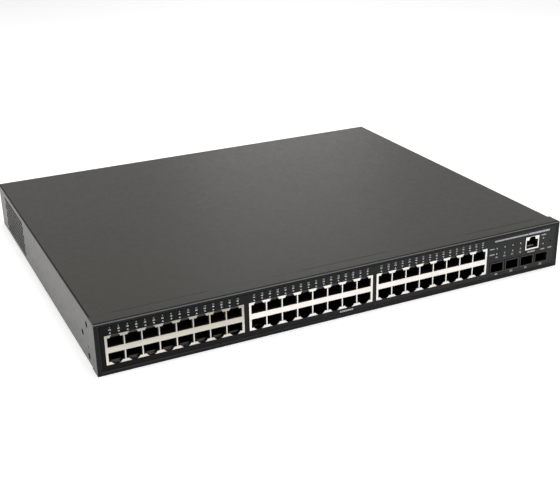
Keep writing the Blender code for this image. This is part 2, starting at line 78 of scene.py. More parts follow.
class Tree:
    """A Principled material with short calls for the nodes that feed it."""

    def __init__(self, name, metallic=0.0, **sockets):
        self.material = bpy.data.materials.new(name)
        self.material.use_nodes = True
        self.tree = self.material.node_tree
        self.shader = self.tree.nodes["Principled BSDF"]
        self.set(Metallic=metallic, **sockets)
        self.place = self.node("ShaderNodeTexCoord").outputs["Object"]

    def set(self, **sockets):
        for socket, value in sockets.items():
            self.feed(self.shader.inputs[socket.replace("_", " ")], value)

    def node(self, kind, **settings):
        made = self.tree.nodes.new(kind)
        for key, value in settings.items():
            setattr(made, key, value)
        return made

    def feed(self, socket, source):
        """Sets a socket to a value, or links it to an output."""
        if isinstance(source, bpy.types.NodeSocket):
            self.tree.links.new(source, socket)
        else:
            socket.default_value = source

    def fed(self, kind, sockets, output, **settings):
        """A node with its named sockets fed, as the output that is wanted of it."""
        made = self.node(kind, **settings)
        for key, value in sockets.items():
            self.feed(made.inputs[key], value)
        return made.outputs[output]

    def stretched(self, scale):
        return self.fed("ShaderNodeMapping", {"Vector": self.place, "Scale": scale}, "Vector")

    def noise(self, scale, detail=3.0, roughness=0.5, place=None):
        sockets = {"Vector": place or self.place, "Scale": scale, "Detail": detail, "Roughness": roughness}
        return self.fed("ShaderNodeTexNoise", sockets, "Fac")

    def spread(self, source, low, high, start=0.3, end=0.7):
        sockets = {"Value": source, "From Min": start, "From Max": end, "To Min": low, "To Max": high}
        return self.fed("ShaderNodeMapRange", sockets, "Result")

    def rise(self, source, start, end):
        """From 0 to 1 between two stations."""
        return self.spread(source, 0.0, 1.0, start * MM, end * MM)

    def blend(self, share, first, second):
        made = self.node("ShaderNodeMix", data_type="RGBA")
        self.feed(made.inputs["Factor"], share)
        for socket, colour in ((made.inputs[6], first), (made.inputs[7], second)):
            self.feed(socket, colour if isinstance(colour, bpy.types.NodeSocket) else (*colour, 1))
        return made.outputs[2]

    def mottle(self, pattern, first, second):
        return self.blend(self.spread(pattern, 0.0, 1.0), first, second)

    def axis(self, source, letter):
        return self.fed("ShaderNodeSeparateXYZ", {"Vector": source}, letter)

    def maths(self, operation, *values):
        return self.fed("ShaderNodeMath", dict(enumerate(values)), "Value", operation=operation)

    def times(self, first, *others):
        for other in others:
            first = self.maths("MULTIPLY", first, other)
        return first

    def done(self, tone, gloss, height, depth, strength=1.0):
        """Sets the colour, the roughness from (pattern, low, high), and the bump; gives the material."""
        bump = {"Strength": strength, "Distance": depth * MM, "Height": height}
        self.set(Base_Color=tone, Roughness=self.spread(*gloss), Normal=self.fed("ShaderNodeBump", bump, "Normal"))
        return self.material


def shade(colour, factor):
    return tuple(c * factor for c in colour)


def shades(colour, low, high):
    return shade(colour, low), shade(colour, high)


# Stations and levels for the painted shadow in the bezel's crease and the painted highlight along its rim; the rim
# colour is that painted highlight.
CREASE_FRONT = (FRONT + 0.4, FRONT + 0.6)
CREASE_BACK = (FRONT + 2.7, FRONT + 2.4)
CREASE_LEVEL = (44.2, 44.3)
RIM_LEVEL = (43.5, 43.6)
RIM_HIGHLIGHT = (0.15, 0.15, 0.15)
FRONT_WIDTH = [corner.x for corner in span("front_panel")]
# Paint within the cover's skin is darkened as painted shade.
COVER_SKIN = Point(*(value - 0.15 for value in span("top_cover")[1]))


def powder_coat(name, colour, roughness, grain=0.5, gloss=0.5, face=None, skin=None, painted_sheen_across=None):
    """Baked paint: orange peel, faint patches and uneven gloss.

    face is a painted shade on what faces the front, which also loses gloss, with a painted highlight as a pale rim at
    its top and a painted shadow as a dark crease on the top behind it. Paint within the skin is darkened as painted
    shade, and the fold along its top edges gets a painted shadow line. The gloss share at the left and the right is a
    painted sheen.
    """
    tree = Tree(name)
    x, y, z = (tree.axis(tree.place, letter) for letter in "XYZ")
    specks = tree.noise(0.9 / (grain * MM), 2.0)
    tone = tree.mottle(tree.noise(5.0, 2.0), *shades(colour, 0.97, 1.03))
    tone = tree.blend(tree.spread(specks, 0.0, 0.35), tone, shade(colour, 0.8))
    shine = tree.spread(specks, gloss * 1.04, gloss * 0.96)
    # Painted light on what faces the front: the face colour and lower gloss are painted shade, the rim is a painted
    # highlight, the crease a painted shadow.
    if face:
        facing = tree.axis(tree.node("ShaderNodeNewGeometry").outputs["Normal"], "Y")
        ahead = tree.spread(facing, 1.0, 0.0, -0.9, -0.6)
        upward = tree.spread(facing, 0.0, 1.0, -0.6, -0.3)
        behind = tree.times(tree.rise(y, *CREASE_FRONT), tree.rise(y, *CREASE_BACK))
        # painted shadow: a dark crease on the upward faces just behind the front edge
        crease = tree.times(behind, upward, tree.rise(z, *CREASE_LEVEL))
        tone = tree.blend(ahead, tree.blend(crease, tone, shade(colour, 0.25)), face)
        # painted highlight: the pale rim colour on front faces above the rim level
        tone = tree.blend(tree.times(ahead, tree.rise(z, *RIM_LEVEL)), tone, RIM_HIGHLIGHT)
        shine = tree.times(tree.spread(ahead, gloss, gloss * 0.3, 0.0, 1.0), tree.spread(crease, 1.0, 0.2, 0.0, 1.0))
    # Painted shade: paint within the skin, on the hidden side and the hole walls, is darkened, and the top fold gets a
    # painted shadow line with less gloss.
    if skin:
        away = tree.maths("ABSOLUTE", x)
        outer = tree.maths("MAXIMUM", tree.rise(away, skin.x - 0.1, skin.x), tree.rise(z, skin.z - 0.1, skin.z))
        fold = tree.times(tree.rise(away, skin.x - 1.3, skin.x - 1.0), tree.rise(z, skin.z - 1.1, skin.z - 0.7))
        tone = tree.blend(fold, tree.blend(outer, shade(colour, 0.12), tone), shade(colour, 0.35))
        shine = tree.times(shine, tree.spread(fold, 1.0, 0.2, 0.0, 1.0))
    # Painted sheen: the gloss share rises from the left end to the right end, so the left reads darker and the right
    # brighter.
    if painted_sheen_across:
        shine = tree.times(shine, tree.spread(tree.rise(x, *FRONT_WIDTH), *painted_sheen_across, 0.0, 1.0))
    tree.set(Specular_IOR_Level=shine)
    return tree.done(tone, (tree.noise(240.0, 2.0), roughness - 0.03, roughness + 0.03), specks, 0.014, 0.4)


def moulded(name, colour, roughness, grain=0.25, coat=0.0):
    """Injection-moulded plastic: spark-eroded grain and faint flow marks."""
    tree = Tree(name, Specular_IOR_Level=0.45, Coat_Weight=coat)
    flow = tree.noise(40.0, 2.0, place=tree.stretched((1.0, 0.3, 2.0)))
    pits = tree.noise(0.8 / (grain * MM), 2.0)
    tone = tree.mottle(flow, *shades(colour, 0.88, 1.12))
    return tree.done(tone, (pits, roughness - 0.06, roughness + 0.08), pits, 0.01, 0.4)


def plated(name, colour, roughness, spots=0.0, shade_heights=None):
    """Rolled sheet or plated steel: fine streaks and darker spots; with shade heights, a painted shade that takes it to
    half as bright from the lower height to the upper.
    """
    tree = Tree(name, metallic=1.0)
    lines = tree.noise(60.0, 4.0, 0.6, place=tree.stretched((3.0, 30.0, 30.0)))
    tone = tree.mottle(tree.noise(45.0, 3.0), *shades(colour, 0.93 - spots, 1.03))
    # Painted shade: darker towards the top, down to half as bright.
    if shade_heights:
        tone = tree.blend(tree.rise(tree.axis(tree.place, "Z"), *shade_heights), tone, shade(colour, 0.5))
    return tree.done(tone, (lines, roughness - 0.06, roughness + 0.1), lines, 0.006, 0.5)


def spangled(name, colour, roughness):
    """Zinc-coated steel with the patchwork of its crystals."""
    tree = Tree(name, metallic=1.0)
    crystals = tree.fed("ShaderNodeTexVoronoi", {"Vector": tree.place, "Scale": 160.0}, "Color")
    grey = tree.fed("ShaderNodeRGBToBW", {"Color": crystals}, "Val")
    tone = tree.blend(tree.spread(grey, 0.0, 1.0, 0.2, 0.8), *shades(colour, 0.8, 1.1))
    return tree.done(tone, (grey, roughness - 0.08, roughness + 0.12, 0.2, 0.8), tree.noise(900.0, 2.0), 0.004, 0.4)


def clear_moulding(name):
    """The frosted end of a light pipe, unlit."""
    tree = Tree(name, IOR=1.49, Transmission_Weight=0.25, Subsurface_Weight=0.15)
    haze = tree.noise(700.0, 2.0)
    return tree.done(tree.mottle(haze, (0.62, 0.66, 0.66), (0.8, 0.82, 0.81)), (haze, 0.22, 0.4), haze, 0.004, 0.5)


def ink(name, colour):
    """Screen-printed marks, a little uneven in cover."""
    tree = Tree(name, Specular_IOR_Level=0.3)
    cover = tree.noise(2200.0, 2.0)
    return tree.done(tree.mottle(cover, *shades(colour, 0.82, 1.0)), (cover, 0.45, 0.6), cover, 0.003, 0.3)


def board_mask(name):
    """Green solder mask over routed copper."""
    tree = Tree(name, Specular_IOR_Level=0.5, Coat_Weight=0.35, Coat_Roughness=0.2)
    bricks = {"Vector": tree.stretched((1.0, 1.0, 0.0)), "Scale": 260.0, "Mortar Size": 0.035}
    runs = tree.fed("ShaderNodeTexBrick", bricks, "Fac", offset=0.37, squash=1.6, squash_frequency=3)
    traces = tree.spread(runs, 0.0, 1.0, 0.2, 0.8)
    fibres = tree.noise(500.0, 2.0, place=tree.stretched((1.0, 3.0, 1.0)))
    mask = tree.mottle(fibres, (0.008, 0.075, 0.03), (0.012, 0.11, 0.045))
    return tree.done(tree.blend(traces, mask, (0.03, 0.2, 0.07)), (fibres, 0.3, 0.42), traces, 0.03, 0.4)


def anodised(name, colour):
    """Extruded aluminium with drawing lines under an anodised film."""
    tree = Tree(name, metallic=0.75)
    lines = tree.noise(90.0, 4.0, 0.6, place=tree.stretched((30.0, 1.0, 30.0)))
    return tree.done(tree.mottle(lines, *shades(colour, 0.8, 1.2)), (lines, 0.36, 0.52), lines, 0.01, 0.4)


def banded(name, first, second, bands_per_m, axis, roughness, depth, metallic=0.0):
    """Close parallel turns of wire or tape along one axis."""
    tree = Tree(name, metallic=metallic, Coat_Weight=0.3, Coat_Roughness=0.25)
    waves = {"Vector": tree.place, "Scale": bands_per_m / 20.0 * math.pi, "Distortion": 0.4}
    wave = tree.fed("ShaderNodeTexWave", waves, "Fac", wave_type="BANDS", bands_direction=axis)
    gloss = (tree.noise(400.0), roughness - 0.06, roughness + 0.08)
    return tree.done(tree.mottle(wave, first, second), gloss, wave, depth, 0.8)


def floor_material():
    """Matt white paper that glows a little, for the photo's white ground."""
    tree = Tree("studio_floor", Specular_IOR_Level=0.15, Emission_Color=(1, 1, 1, 1), Emission_Strength=0.44)
    paper = tree.noise(3.0, 2.0)
    tree.set(Base_Color=tree.mottle(paper, (0.8, 0.8, 0.8), (0.82, 0.82, 0.82)), Roughness=tree.spread(paper, 0.7, 0.8))
    return tree.material


CASE_PAINT = powder_coat("case_paint", (0.028, 0.0262, 0.020), 0.4)
# cover_paint: darkened within its skin and along its top folds as painted shade.
COVER_PAINT = powder_coat("cover_paint", (0.028, 0.0262, 0.020), 0.4, skin=COVER_SKIN)
# front_paint: a painted shade on front-facing surfaces, a painted highlight along the rim and a painted shadow in the
# crease.
FRONT_PAINT = powder_coat("front_paint", (0.0265, 0.0255, 0.021), 0.4, 0.35, face=(0.006, 0.0065, 0.007))
# label_film: its gloss is a painted sheen, low at the left end and high at the right.
LABEL_FILM = powder_coat("label_film", (0.0085, 0.009, 0.0095), 0.32, 0.2, gloss=0.2, painted_sheen_across=(0.25, 1.4))
TIN = plated("tin_plate", (0.8, 0.765, 0.715), 0.32)
# A darker, warmer copy of the tin plate as painted shade for the first jack block, darker still towards its top.
SHADED_TIN = plated("painted_shade_tin_plate", (0.68, 0.635, 0.56), 0.34, shade_heights=(10, 36))
CAGE_METAL = plated("cage_metal", (0.09, 0.088, 0.08), 0.42, spots=0.08)
# A darker copy of the cage metal, as painted shade inside the cages and on their springs.
CAGE_PAINTED_SHADE = plated("cage_painted_shade", (0.035, 0.035, 0.033), 0.5, spots=0.08)
GOLD = plated("contact_gold", (0.5, 0.34, 0.12), 0.3)
BRIGHT_STEEL = plated("bright_steel", (0.72, 0.72, 0.7), 0.3, spots=0.05)
ZINC = spangled("zinc_steel", (0.56, 0.57, 0.58), 0.42)
JACK_PLASTIC = moulded("jack_plastic", (0.004, 0.004, 0.0045), 0.24)
BLACK_PLASTIC = moulded("black_plastic", (0.016, 0.016, 0.017), 0.42)
CHIP_EPOXY = moulded("chip_epoxy", (0.02, 0.02, 0.021), 0.55, 0.15)
WHITE_PLASTIC = moulded("white_plastic", (0.62, 0.6, 0.53), 0.42)
SLEEVE = moulded("capacitor_sleeve", (0.012, 0.014, 0.03), 0.28, 0.6, 0.3)
FERRITE = moulded("ferrite", (0.045, 0.043, 0.045), 0.6, 0.5)
CERAMIC = moulded("ceramic", (0.2, 0.13, 0.08), 0.45, 0.3)
PLATE = moulded("plate_film", (0.42, 0.43, 0.43), 0.4, 0.3)
LIGHT_PIPE = clear_moulding("light_pipe")
PRINT = ink("printed_marks", (0.55, 0.57, 0.6))
FAINT_PRINT = ink("fine_marks", (0.42, 0.43, 0.46))
RULES = ink("plate_rules", (0.05, 0.05, 0.055))
BOARD = board_mask("solder_mask")
BLACK_FINS = anodised("black_anodised", (0.03, 0.03, 0.032))
PLAIN_FINS = anodised("plain_aluminium", (0.6, 0.6, 0.61))
COPPER = banded("copper_turns", (0.35, 0.1, 0.03), (0.72, 0.3, 0.12), 900.0, "X", 0.35, 0.3, 0.8)
TAPE = banded("winding_tape", (0.5, 0.33, 0.03), (0.68, 0.46, 0.06), 250.0, "Z", 0.4, 0.1)

# ---- mesh tools


def mesh_of(bm):
    mesh = bpy.data.meshes.new("shape")
    bmesh.ops.recalc_face_normals(bm, faces=bm.faces)
    bm.to_mesh(mesh)
    bm.free()
    return mesh


PLACE = {
    "XZ": lambda u, v, w: (u, w, v),
    "YZ": lambda u, v, w: (w, u, v),
    "XY": lambda u, v, w: (u, v, w),
}


def metres(*point):
    return Vector([value * MM for value in point])


def shift(*point):
    return Matrix.Translation(metres(*point))


def prisms(outlines, plane, start, end):
    """Closed outlines made thick between two stations along the plane's third axis."""
    place = PLACE[plane]
    bm = bmesh.new()
    for outline in outlines:
        bm.faces.new([bm.verts.new(metres(*place(u, v, start))) for u, v in outline])
    grown = bmesh.ops.extrude_face_region(bm, geom=bm.faces[:])["geom"]
    tops = [item for item in grown if isinstance(item, bmesh.types.BMVert)]
    bmesh.ops.translate(bm, vec=metres(*place(0, 0, end - start)), verts=tops)
    return mesh_of(bm)


def box(low, high):
    low, high = metres(*low), metres(*high)
    place = Matrix.Translation((low + high) / 2) @ Matrix.Diagonal((*(high - low), 1))
    bm = bmesh.new()
    bmesh.ops.create_cube(bm, size=1.0, matrix=place)
    return mesh_of(bm)


def about(centre, reach):
    return centre - reach, centre + reach


def slab(xs, ys, zs):
    """A box from its range along each axis."""
    return box(*zip(xs, ys, zs))


def ribbon(path, u, v):
    """The outline of a strip: its path, and back again moved by u, v."""
    return [*path, *((a + u, b + v) for a, b in reversed(path))]


def skinned(rings, loop=False):
    """A mesh over rings of points, closed into a loop or capped at both ends."""
    bm = bmesh.new()
    rings = [[bm.verts.new(metres(*point)) for point in ring] for ring in rings]
    if loop:
        rings.append(rings[0])
    else:
        bm.faces.new(rings[0])
        bm.faces.new(rings[-1])
    for first, second in zip(rings, rings[1:]):
        for i in range(len(first)):
            bm.faces.new((first[i - 1], first[i], second[i], second[i - 1]))
    return mesh_of(bm)


def lathed(profile, plane, u, v, start, sides=32):
    """A solid of revolution from (radius, station) pairs, across the plane through u, v."""
    place = PLACE[plane]
    return skinned([[place(a, b, start + w) for a, b in circle(u, v, r, sides)] for r, w in profile])


AXIS_TURN = {
    "X": Matrix.Rotation(math.radians(90), 4, "Y"),
    "Y": Matrix.Rotation(math.radians(-90), 4, "X"),
    "Z": Matrix.Identity(4),
}


def rod(axis, centre, radius, length, sides=32):
    bm = bmesh.new()
    bmesh.ops.create_cone(
        bm,
        cap_ends=True,
        segments=sides,
        radius1=radius * MM,
        radius2=radius * MM,
        depth=length * MM,
        matrix=shift(*centre) @ AXIS_TURN[axis],
    )
    return mesh_of(bm)


def together(meshes):
    bm = bmesh.new()
    for mesh in meshes:
        bm.from_mesh(mesh)
    return mesh_of(bm)


def settled(obj):
    """The object's mesh with its modifiers applied; the object goes."""
    bpy.context.view_layer.update()
    mesh = bpy.data.meshes.new_from_object(obj.evaluated_get(bpy.context.evaluated_depsgraph_get()))
    bpy.data.objects.remove(obj)
    return mesh


def held(mesh):
    obj = bpy.data.objects.new("held", mesh)
    bpy.context.scene.collection.objects.link(obj)
    return obj


def boolean(base, tool, operation):
    obj, cutter = held(base), held(tool)
    modifier = obj.modifiers.new("boolean", "BOOLEAN")
    modifier.operation = operation
    modifier.solver = "EXACT"
    modifier.object = cutter
    mesh = settled(obj)
    bpy.data.objects.remove(cutter)
    return mesh


def cut(base, *tools):
    for tool in tools:
        base = boolean(base, tool, "DIFFERENCE")
    return base


def join(base, *tools):
    for tool in tools:
        base = boolean(base, tool, "UNION")
    return base


def rectangle(u, v):
    return [(u[0], v[0]), (u[1], v[0]), (u[1], v[1]), (u[0], v[1])]


def grown(u, v, by):
    return rectangle((u[0] - by, u[1] + by), (v[0] - by, v[1] + by))


def arc(u, v, radius, start, end, steps=6):
    angles = [math.radians(start + (end - start) * i / steps) for i in range(steps + 1)]
    return [(u + radius * math.cos(a), v + radius * math.sin(a)) for a in angles]


def circle(u, v, radius, sides=24):
    return arc(u, v, radius, 0, 360, sides)[:-1]


def rounded(u, v, radius, steps=4):
    """A rectangle with round corners."""
    (a, b), (c, d) = u, v
    r = radius
    points = arc(b - r, d - r, r, 0, 90, steps) + arc(a + r, d - r, r, 90, 180, steps)
    return points + arc(a + r, c + r, r, 180, 270, steps) + arc(b - r, c + r, r, 270, 360, steps)


def piece(name, mesh, material, node=None, slot=None, body=BODY, bevel=0.0, segments=2, smooth=30.0):
    """A visible piece. node names the CAD node that it stands for; bevel rounds its edges."""
    if bevel:
        obj = held(mesh)
        rounding = obj.modifiers.new("rounding", "BEVEL")
        rounding.width = bevel * MM
        rounding.segments = segments
        rounding.limit_method = "ANGLE"
        rounding.angle_limit = math.radians(35)
        mesh = settled(obj)
    mesh.shade_smooth()
    mesh.set_sharp_from_angle(angle=math.radians(smooth))
    obj = held(mesh)
    obj.modifiers.new("even_shading", "WEIGHTED_NORMAL").keep_sharp = True
    mesh = settled(obj)
    mesh.name = name
    mesh.materials.clear()
    mesh.materials.append(material)
    obj = bpy.data.objects.new(name, mesh)
    bpy.context.scene.collection.objects.link(obj)
    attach(obj, body)
    if node:
        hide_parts(node)
        slot = slot or SLOT_OF[node]
    return obj


def shape_of(node):
    """A copy of a CAD node's shape, its flat faces made whole again."""
    bm = bmesh.new()
    bm.from_mesh(frame["nodes"][node].data)
    bmesh.ops.remove_doubles(bm, verts=bm.verts, dist=1e-6)
    bmesh.ops.dissolve_limit(bm, angle_limit=math.radians(1), verts=bm.verts, edges=bm.edges)
    return mesh_of(bm)


def stand_in(node, mesh, material, **finish):
    """The visible piece in place of a CAD node."""
    return piece(node + "_look", mesh, material, node, **finish)


def finer(node, material, bevel):
    """Stands for a CAD node whose shape is right, with rounded edges."""
    stand_in(node, shape_of(node), material, bevel=bevel)


# ---- sheet-metal case


SHEET = 1.0
BEND = 1.6
REAR_LIP = 8
EDGE_MARK = ((-13, -9), (1.2, 2.6))
MARK_DEPTH = 0.6
EAR_HOLES = ((23.7, 34.4), (38.5, 21.0), (23.9, 6.6))
EAR_HOLE = 2.6
PIN_HOLE = (23.7, 14.6)
PIN_RADIUS = 0.8
SEAM_GAPS = ((-201, -122), (-39, 43), (126, 203))
SEAM_WIDER = 0.4
SCREW_X = [middle(f"cover_screw_{i}").x for i in (1, 2, 3)]
SCREW_Z = middle("cover_screw_1").z
SCREW_HOLE = 1.7
VENT_Y = {-1: (70.4, 150), 1: (70.4, 122)}
VENT_Z = (5.8, 36.9)
VENT_ROWS = 8
VENT_STEP = 5.13
VENT_HOLE = 2.35
VENT_CORNER = 0.35


def vent_holes(first, last):
    """Staggered rows of six-sided holes with slightly rounded corners."""
    reach = VENT_HOLE - VENT_CORNER * 2 / math.sqrt(3)
    holes = []
    for row in range(VENT_ROWS):
        z = VENT_Z[0] + row * (VENT_Z[1] - VENT_Z[0]) / (VENT_ROWS - 1)
        y = first + (row % 2) * VENT_STEP / 2
        while y <= last:
            corners = zip(arc(y, z, reach, 30, 390), range(30, 390, 60))
            holes.append([spot for at, turn in corners for spot in arc(*at, VENT_CORNER, turn - 30, turn + 30, 1)])
            y += VENT_STEP
    return holes


def case_cover():
    """The folded cover: a rounded U with its rear lip, side vents, screw holes and a shallow mark at each side's foot,
    dark from painted shade.
    """
    low, high = span("top_cover")
    half, top = high.x, high.z
    outline = [(half, low.z), *arc(half - BEND, top - BEND, BEND, 0, 90, 8)]
    outline += [*arc(BEND - half, top - BEND, BEND, 90, 180, 8), (-half, low.z)]
    outline += [(SHEET - half, low.z), *arc(BEND - half, top - BEND, BEND - SHEET, 180, 90, 8)]
    outline += [*arc(half - BEND, top - BEND, BEND - SHEET, 90, 0, 8), (half - SHEET, low.z)]
    lip = slab(about(0, half - BEND), (high.y - SHEET, high.y), (top - REAR_LIP, top - 0.4))
    cover = join(prisms([outline], "XZ", low.y, high.y), lip)
    ear = [circle(FRONT + y, z, EAR_HOLE) for y, z in EAR_HOLES]
    ear.append(circle(FRONT + PIN_HOLE[0], PIN_HOLE[1], PIN_RADIUS, 16))
    for side in (-1, 1):
        holes = ear + vent_holes(*VENT_Y[side])
        cover = cut(cover, prisms(holes, "YZ", side * (half + SHEET), side * (half - 4)))
    seams = [slab(gap, (low.y - SHEET, low.y + SEAM_WIDER), (top - 3, top + SHEET)) for gap in SEAM_GAPS]
    screws = prisms([circle(x, SCREW_Z, SCREW_HOLE) for x in SCREW_X], "XZ", high.y - 2, high.y + 1)
    # The mark's floor lies within the skin, so the cover paint darkens it as painted shade.
    mark = prisms([rounded(*EDGE_MARK, 0.5)], "YZ", *about(0, half + SHEET))
    mark = cut(mark, slab(about(0, half - MARK_DEPTH), (-20, 0), (0, top)))
    cover = cut(cover, together(seams), screws, mark)
    piece("case_cover", cover, COVER_PAINT, "top_cover", bevel=0.12, smooth=40)


STANDOFFS = [node for node in frame["nodes"] if "standoff" in node]


def base_pan():
    """The bottom pan, with clinch marks of the board standoffs pressed into its underside."""
    rings = []
    for node in STANDOFFS:
        foot = (middle(node).x, middle(node).y, 0)
        rings.append(cut(rod("Z", foot, 2.6, 0.5), rod("Z", foot, 2.2, 1)))
    stand_in("base_pan", cut(shape_of("base_pan"), together(rings)), ZINC, bevel=0.15)


PLATE_THICK = 0.12
RULE_THICK = 0.03
SIGN_THICK = 0.04


def rear_panel():
    """The rear panel, with a blank rating plate and an earth sign."""
    face = span("rear_panel")[1].y
    finer("rear_panel", CASE_PAINT, 0.12)
    plate = prisms([rounded((-150, -85), (9, 31), 1.5)], "XZ", face, face + PLATE_THICK)
    piece("rating_plate", plate, PLATE, slot="label_film", bevel=0.05)
    lines = []
    for row, width in enumerate((52, 40, 47, 30, 44)):
        z = 27.0 - row * 3.6
        lines.append(rounded((-146, -146 + width), (z, z + 0.5), 0.2, 2))
    rules = prisms(lines, "XZ", face + PLATE_THICK, face + PLATE_THICK + RULE_THICK)
    piece("rating_plate_rules", rules, RULES, slot="label_film")
    x, z = middle("earth_screw").x - 8, middle("earth_screw").z
    marks = [rectangle(about(x, 0.15), (z + 0.4, z + 2.4))]
    for step, width in enumerate((1.9, 1.2, 0.5)):
        marks.append(rectangle(about(x, width), about(z + 0.12 - 0.7 * step, 0.15)))
    piece("earth_sign", prisms(marks, "XZ", face, face + SIGN_THICK), PRINT, slot="label_film")


def tapered(u, v, grow, start, end):
    """A block between two stations along Y, wider by grow all round at its start."""
    outlines = ((grown(u, v, grow), start), (rectangle(u, v), end))
    return skinned([[(x, y, z) for x, z in outline] for outline, y in outlines])


BEZEL_FILL = (3, 1.9)
LABEL_GAP = 0.3
LABEL_SLOPE = 0.6


def front_bezel():
    """The front tray: the CAD's step along its top edge filled, and its label recess with a sloped edge."""
    low, high = span("front_panel")
    inset = 0.01
    deep, tall = BEZEL_FILL
    fill = box((low.x + inset, FRONT + inset, high.z - tall), (high.x - inset, FRONT + deep, high.z - inset))
    u = (LABEL_LOW.x - LABEL_GAP, LABEL_HIGH.x + LABEL_GAP)
    v = (LABEL_LOW.z - LABEL_GAP, LABEL_HIGH.z + LABEL_GAP)
    recess = tapered(u, v, LABEL_SLOPE * 2, FRONT - LABEL_SLOPE, FRONT + LABEL_SLOPE)
    bezel = cut(join(shape_of("front_panel"), fill), recess)
    piece("front_bezel", bezel, FRONT_PAINT, "front_panel", bevel=0.22, segments=3, smooth=40)


# ---- label and its printed marks

LABEL_LOW, LABEL_HIGH = span("front_label")
PITCH = 13.97
PORT_LIGHT_Z = 37.4
PORT_LIGHT_X = [middle(f"jack_shield_{block}").x + (i - 7.5) * PITCH / 2 for block in (1, 2, 3) for i in range(16)]
STATUS_X = [150.7, 159.5, 168.4, 177.1]
STATUS_Z = [25.5, 30.9]
MODE_X = middle("mode_light_pipe").x
PORT_LENS = (1.0, 0.45)
STATUS_LENS = (0.65, 0.65)
LENS_GAP = 0.06
PRINT_LIFT = 0.03
DASH_GAP = 0.35
STATUS_LIGHTS = [(x, z) for x in STATUS_X + [MODE_X] for z in STATUS_Z]


def lens_outline(x, z, size, grow=0.0):
    """The outline of one light: round ends, as wide and high as twice its size."""
    w, h = size[0] + grow, size[1] + grow
    return rounded((x - w, x + w), (z - h, z + h), h * 0.98, 4)


def front_label():
    """The label film, cut out for the jacks, cages, lights and reset hole."""
    label = shape_of("front_label")
    holes = [lens_outline(x, PORT_LIGHT_Z, PORT_LENS, LENS_GAP) for x in PORT_LIGHT_X]
    holes += [lens_outline(x, z, STATUS_LENS, LENS_GAP) for x, z in STATUS_LIGHTS]
    label = cut(label, prisms(holes, "XZ", FRONT - 1, FRONT + 2))
    stand_in("front_label", label, LABEL_FILM, bevel=0.08)


def written(text, x, z, height, bold=0.0, narrow=1.0):
    """Text as a thin mesh on the label, about its middle."""
    curve = bpy.data.curves.new("figures", "FONT")
    curve.body = text
    curve.size = height * MM / 0.7
    curve.resolution_u = 2
    curve.align_x = "CENTER"
    curve.align_y = "CENTER"
    curve.extrude = PRINT_LIFT / 2 * MM
    curve.offset = bold * MM
    mesh = settled(held(curve))
    bm = bmesh.new()
    bm.from_mesh(mesh)
    bmesh.ops.remove_doubles(bm, verts=bm.verts, dist=1e-7)
    stand = Matrix.Rotation(math.radians(90), 4, "X") @ Matrix.Diagonal((narrow, 1, 1, 1))
    bm.transform(shift(x, LABEL_LOW.y - PRINT_LIFT / 2, z) @ stand)
    return mesh_of(bm)


def flat_marks(outlines):
    return prisms(outlines, "XZ", LABEL_LOW.y - PRINT_LIFT, LABEL_LOW.y)


def triangle(x, z, half, tall, up=True):
    tip = tall / 2 if up else -tall / 2
    return [(x - half, z - tip), (x + half, z - tip), (x, z + tip)]


def dashes(x, end, z, height, widths):
    """A broken rule from x on: its dashes take their widths in turn."""
    marks = []
    for width in cycle(widths):
        if x + width > end:
            return marks
        marks.append(rectangle((x, x + width), about(z, height / 2)))
        x += width + DASH_GAP


def printed_marks():
    """Port numbers, arrows to the jacks, cage numbers, and plain rules in place of any words."""
    numbers = [written(str(i), x, 39.2, 1.65, 0.03, 0.85) for i, x in enumerate(PORT_LIGHT_X, 1)]
    piece("port_numbers", together(numbers), FAINT_PRINT, slot="label_film", smooth=20)
    arrows = [triangle(x, 34.9, 0.9, 1.4, i % 2 == 0) for i, x in enumerate(PORT_LIGHT_X)]
    cages = [middle(f"sfp_cage_{i}").x for i in (1, 2, 3, 4)]
    figures = [written(str(49 + i), x, 5.4, 1.9, 0.07, 1.1) for i, x in enumerate(cages)]
    figures += [written(str(49 + i), x, 22.2, 1.7, 0.05) for i, x in enumerate(STATUS_X)]
    piece("cage_numbers_and_arrows", together([*figures, flat_marks(arrows)]), PRINT, slot="label_film", smooth=20)
    block_x = middle("jack_shield_2").x
    rules = (
        (147.9, 185.6, 38.05, 1.3, (2.1, 1.4, 3.0)),
        (186.0, 209.6, 38.05, 1.8, (2.2, 3.1, 1.6)),
        (142.9, 147.9, 31.0, 1.1, (1.1, 0.8)),
        (142.9, 148.9, 25.6, 1.1, (0.9, 1.2)),
        (185.8, 195.5, 20.2, 1.2, (2.0, 1.5)),
        (200.6, 206.4, 34.3, 1.1, (1.1, 0.9)),
        (200.7, 205.6, 20.3, 1.0, (1.2,)),
        (208.9, 213.9, 20.3, 1.0, (1.2,)),
        (block_x + 26, block_x + 40, 5.5, 1.4, (1.5, 1.1, 2.0)),
    )
    marks = [mark for rule in rules for mark in dashes(*rule)]
    piece("label_rules", flat_marks(marks), PRINT, slot="label_film", smooth=20)


# ---- jacks

COLUMN_X = [(i - 3.5) * PITCH for i in range(8)]
WINDOW_HALF = 6.5
WINDOWS = ((23.2, 31.1, 1), (18.4, 10.6, -1))
EDGE = 0.5
DOMES = {1: (4.42, 1.37), -1: (4.95, 2.3)}
CONSOLE_DOME = (3.62, -0.25)


def jack_outline(x, far, near, up, end, dome, edge=0.0):
    """One jack's opening: a rectangle from far to near, and a domed latch way that ends at a level.

    The plastic behind the shield has the same opening, smaller by edge all round.
    """
    half = WINDOW_HALF - edge
    radius = dome[0] - edge * 0.2
    centre = near - up * dome[1]
    near -= up * edge
    far += up * edge
    first = math.degrees(math.asin((near - centre) * up / radius))
    last = math.degrees(math.asin(min(1.0, abs(end - centre) / radius)))
    right = [(x + px, centre + up * pz) for px, pz in arc(0, 0, radius, first, last, 8)]
    left = [(2 * x - px, pz) for px, pz in reversed(right)]
    if last == 90.0:
        left = left[1:]
    return [(x - half, far), (x + half, far), (x + half, near), *right, *left, (x - half, near)]


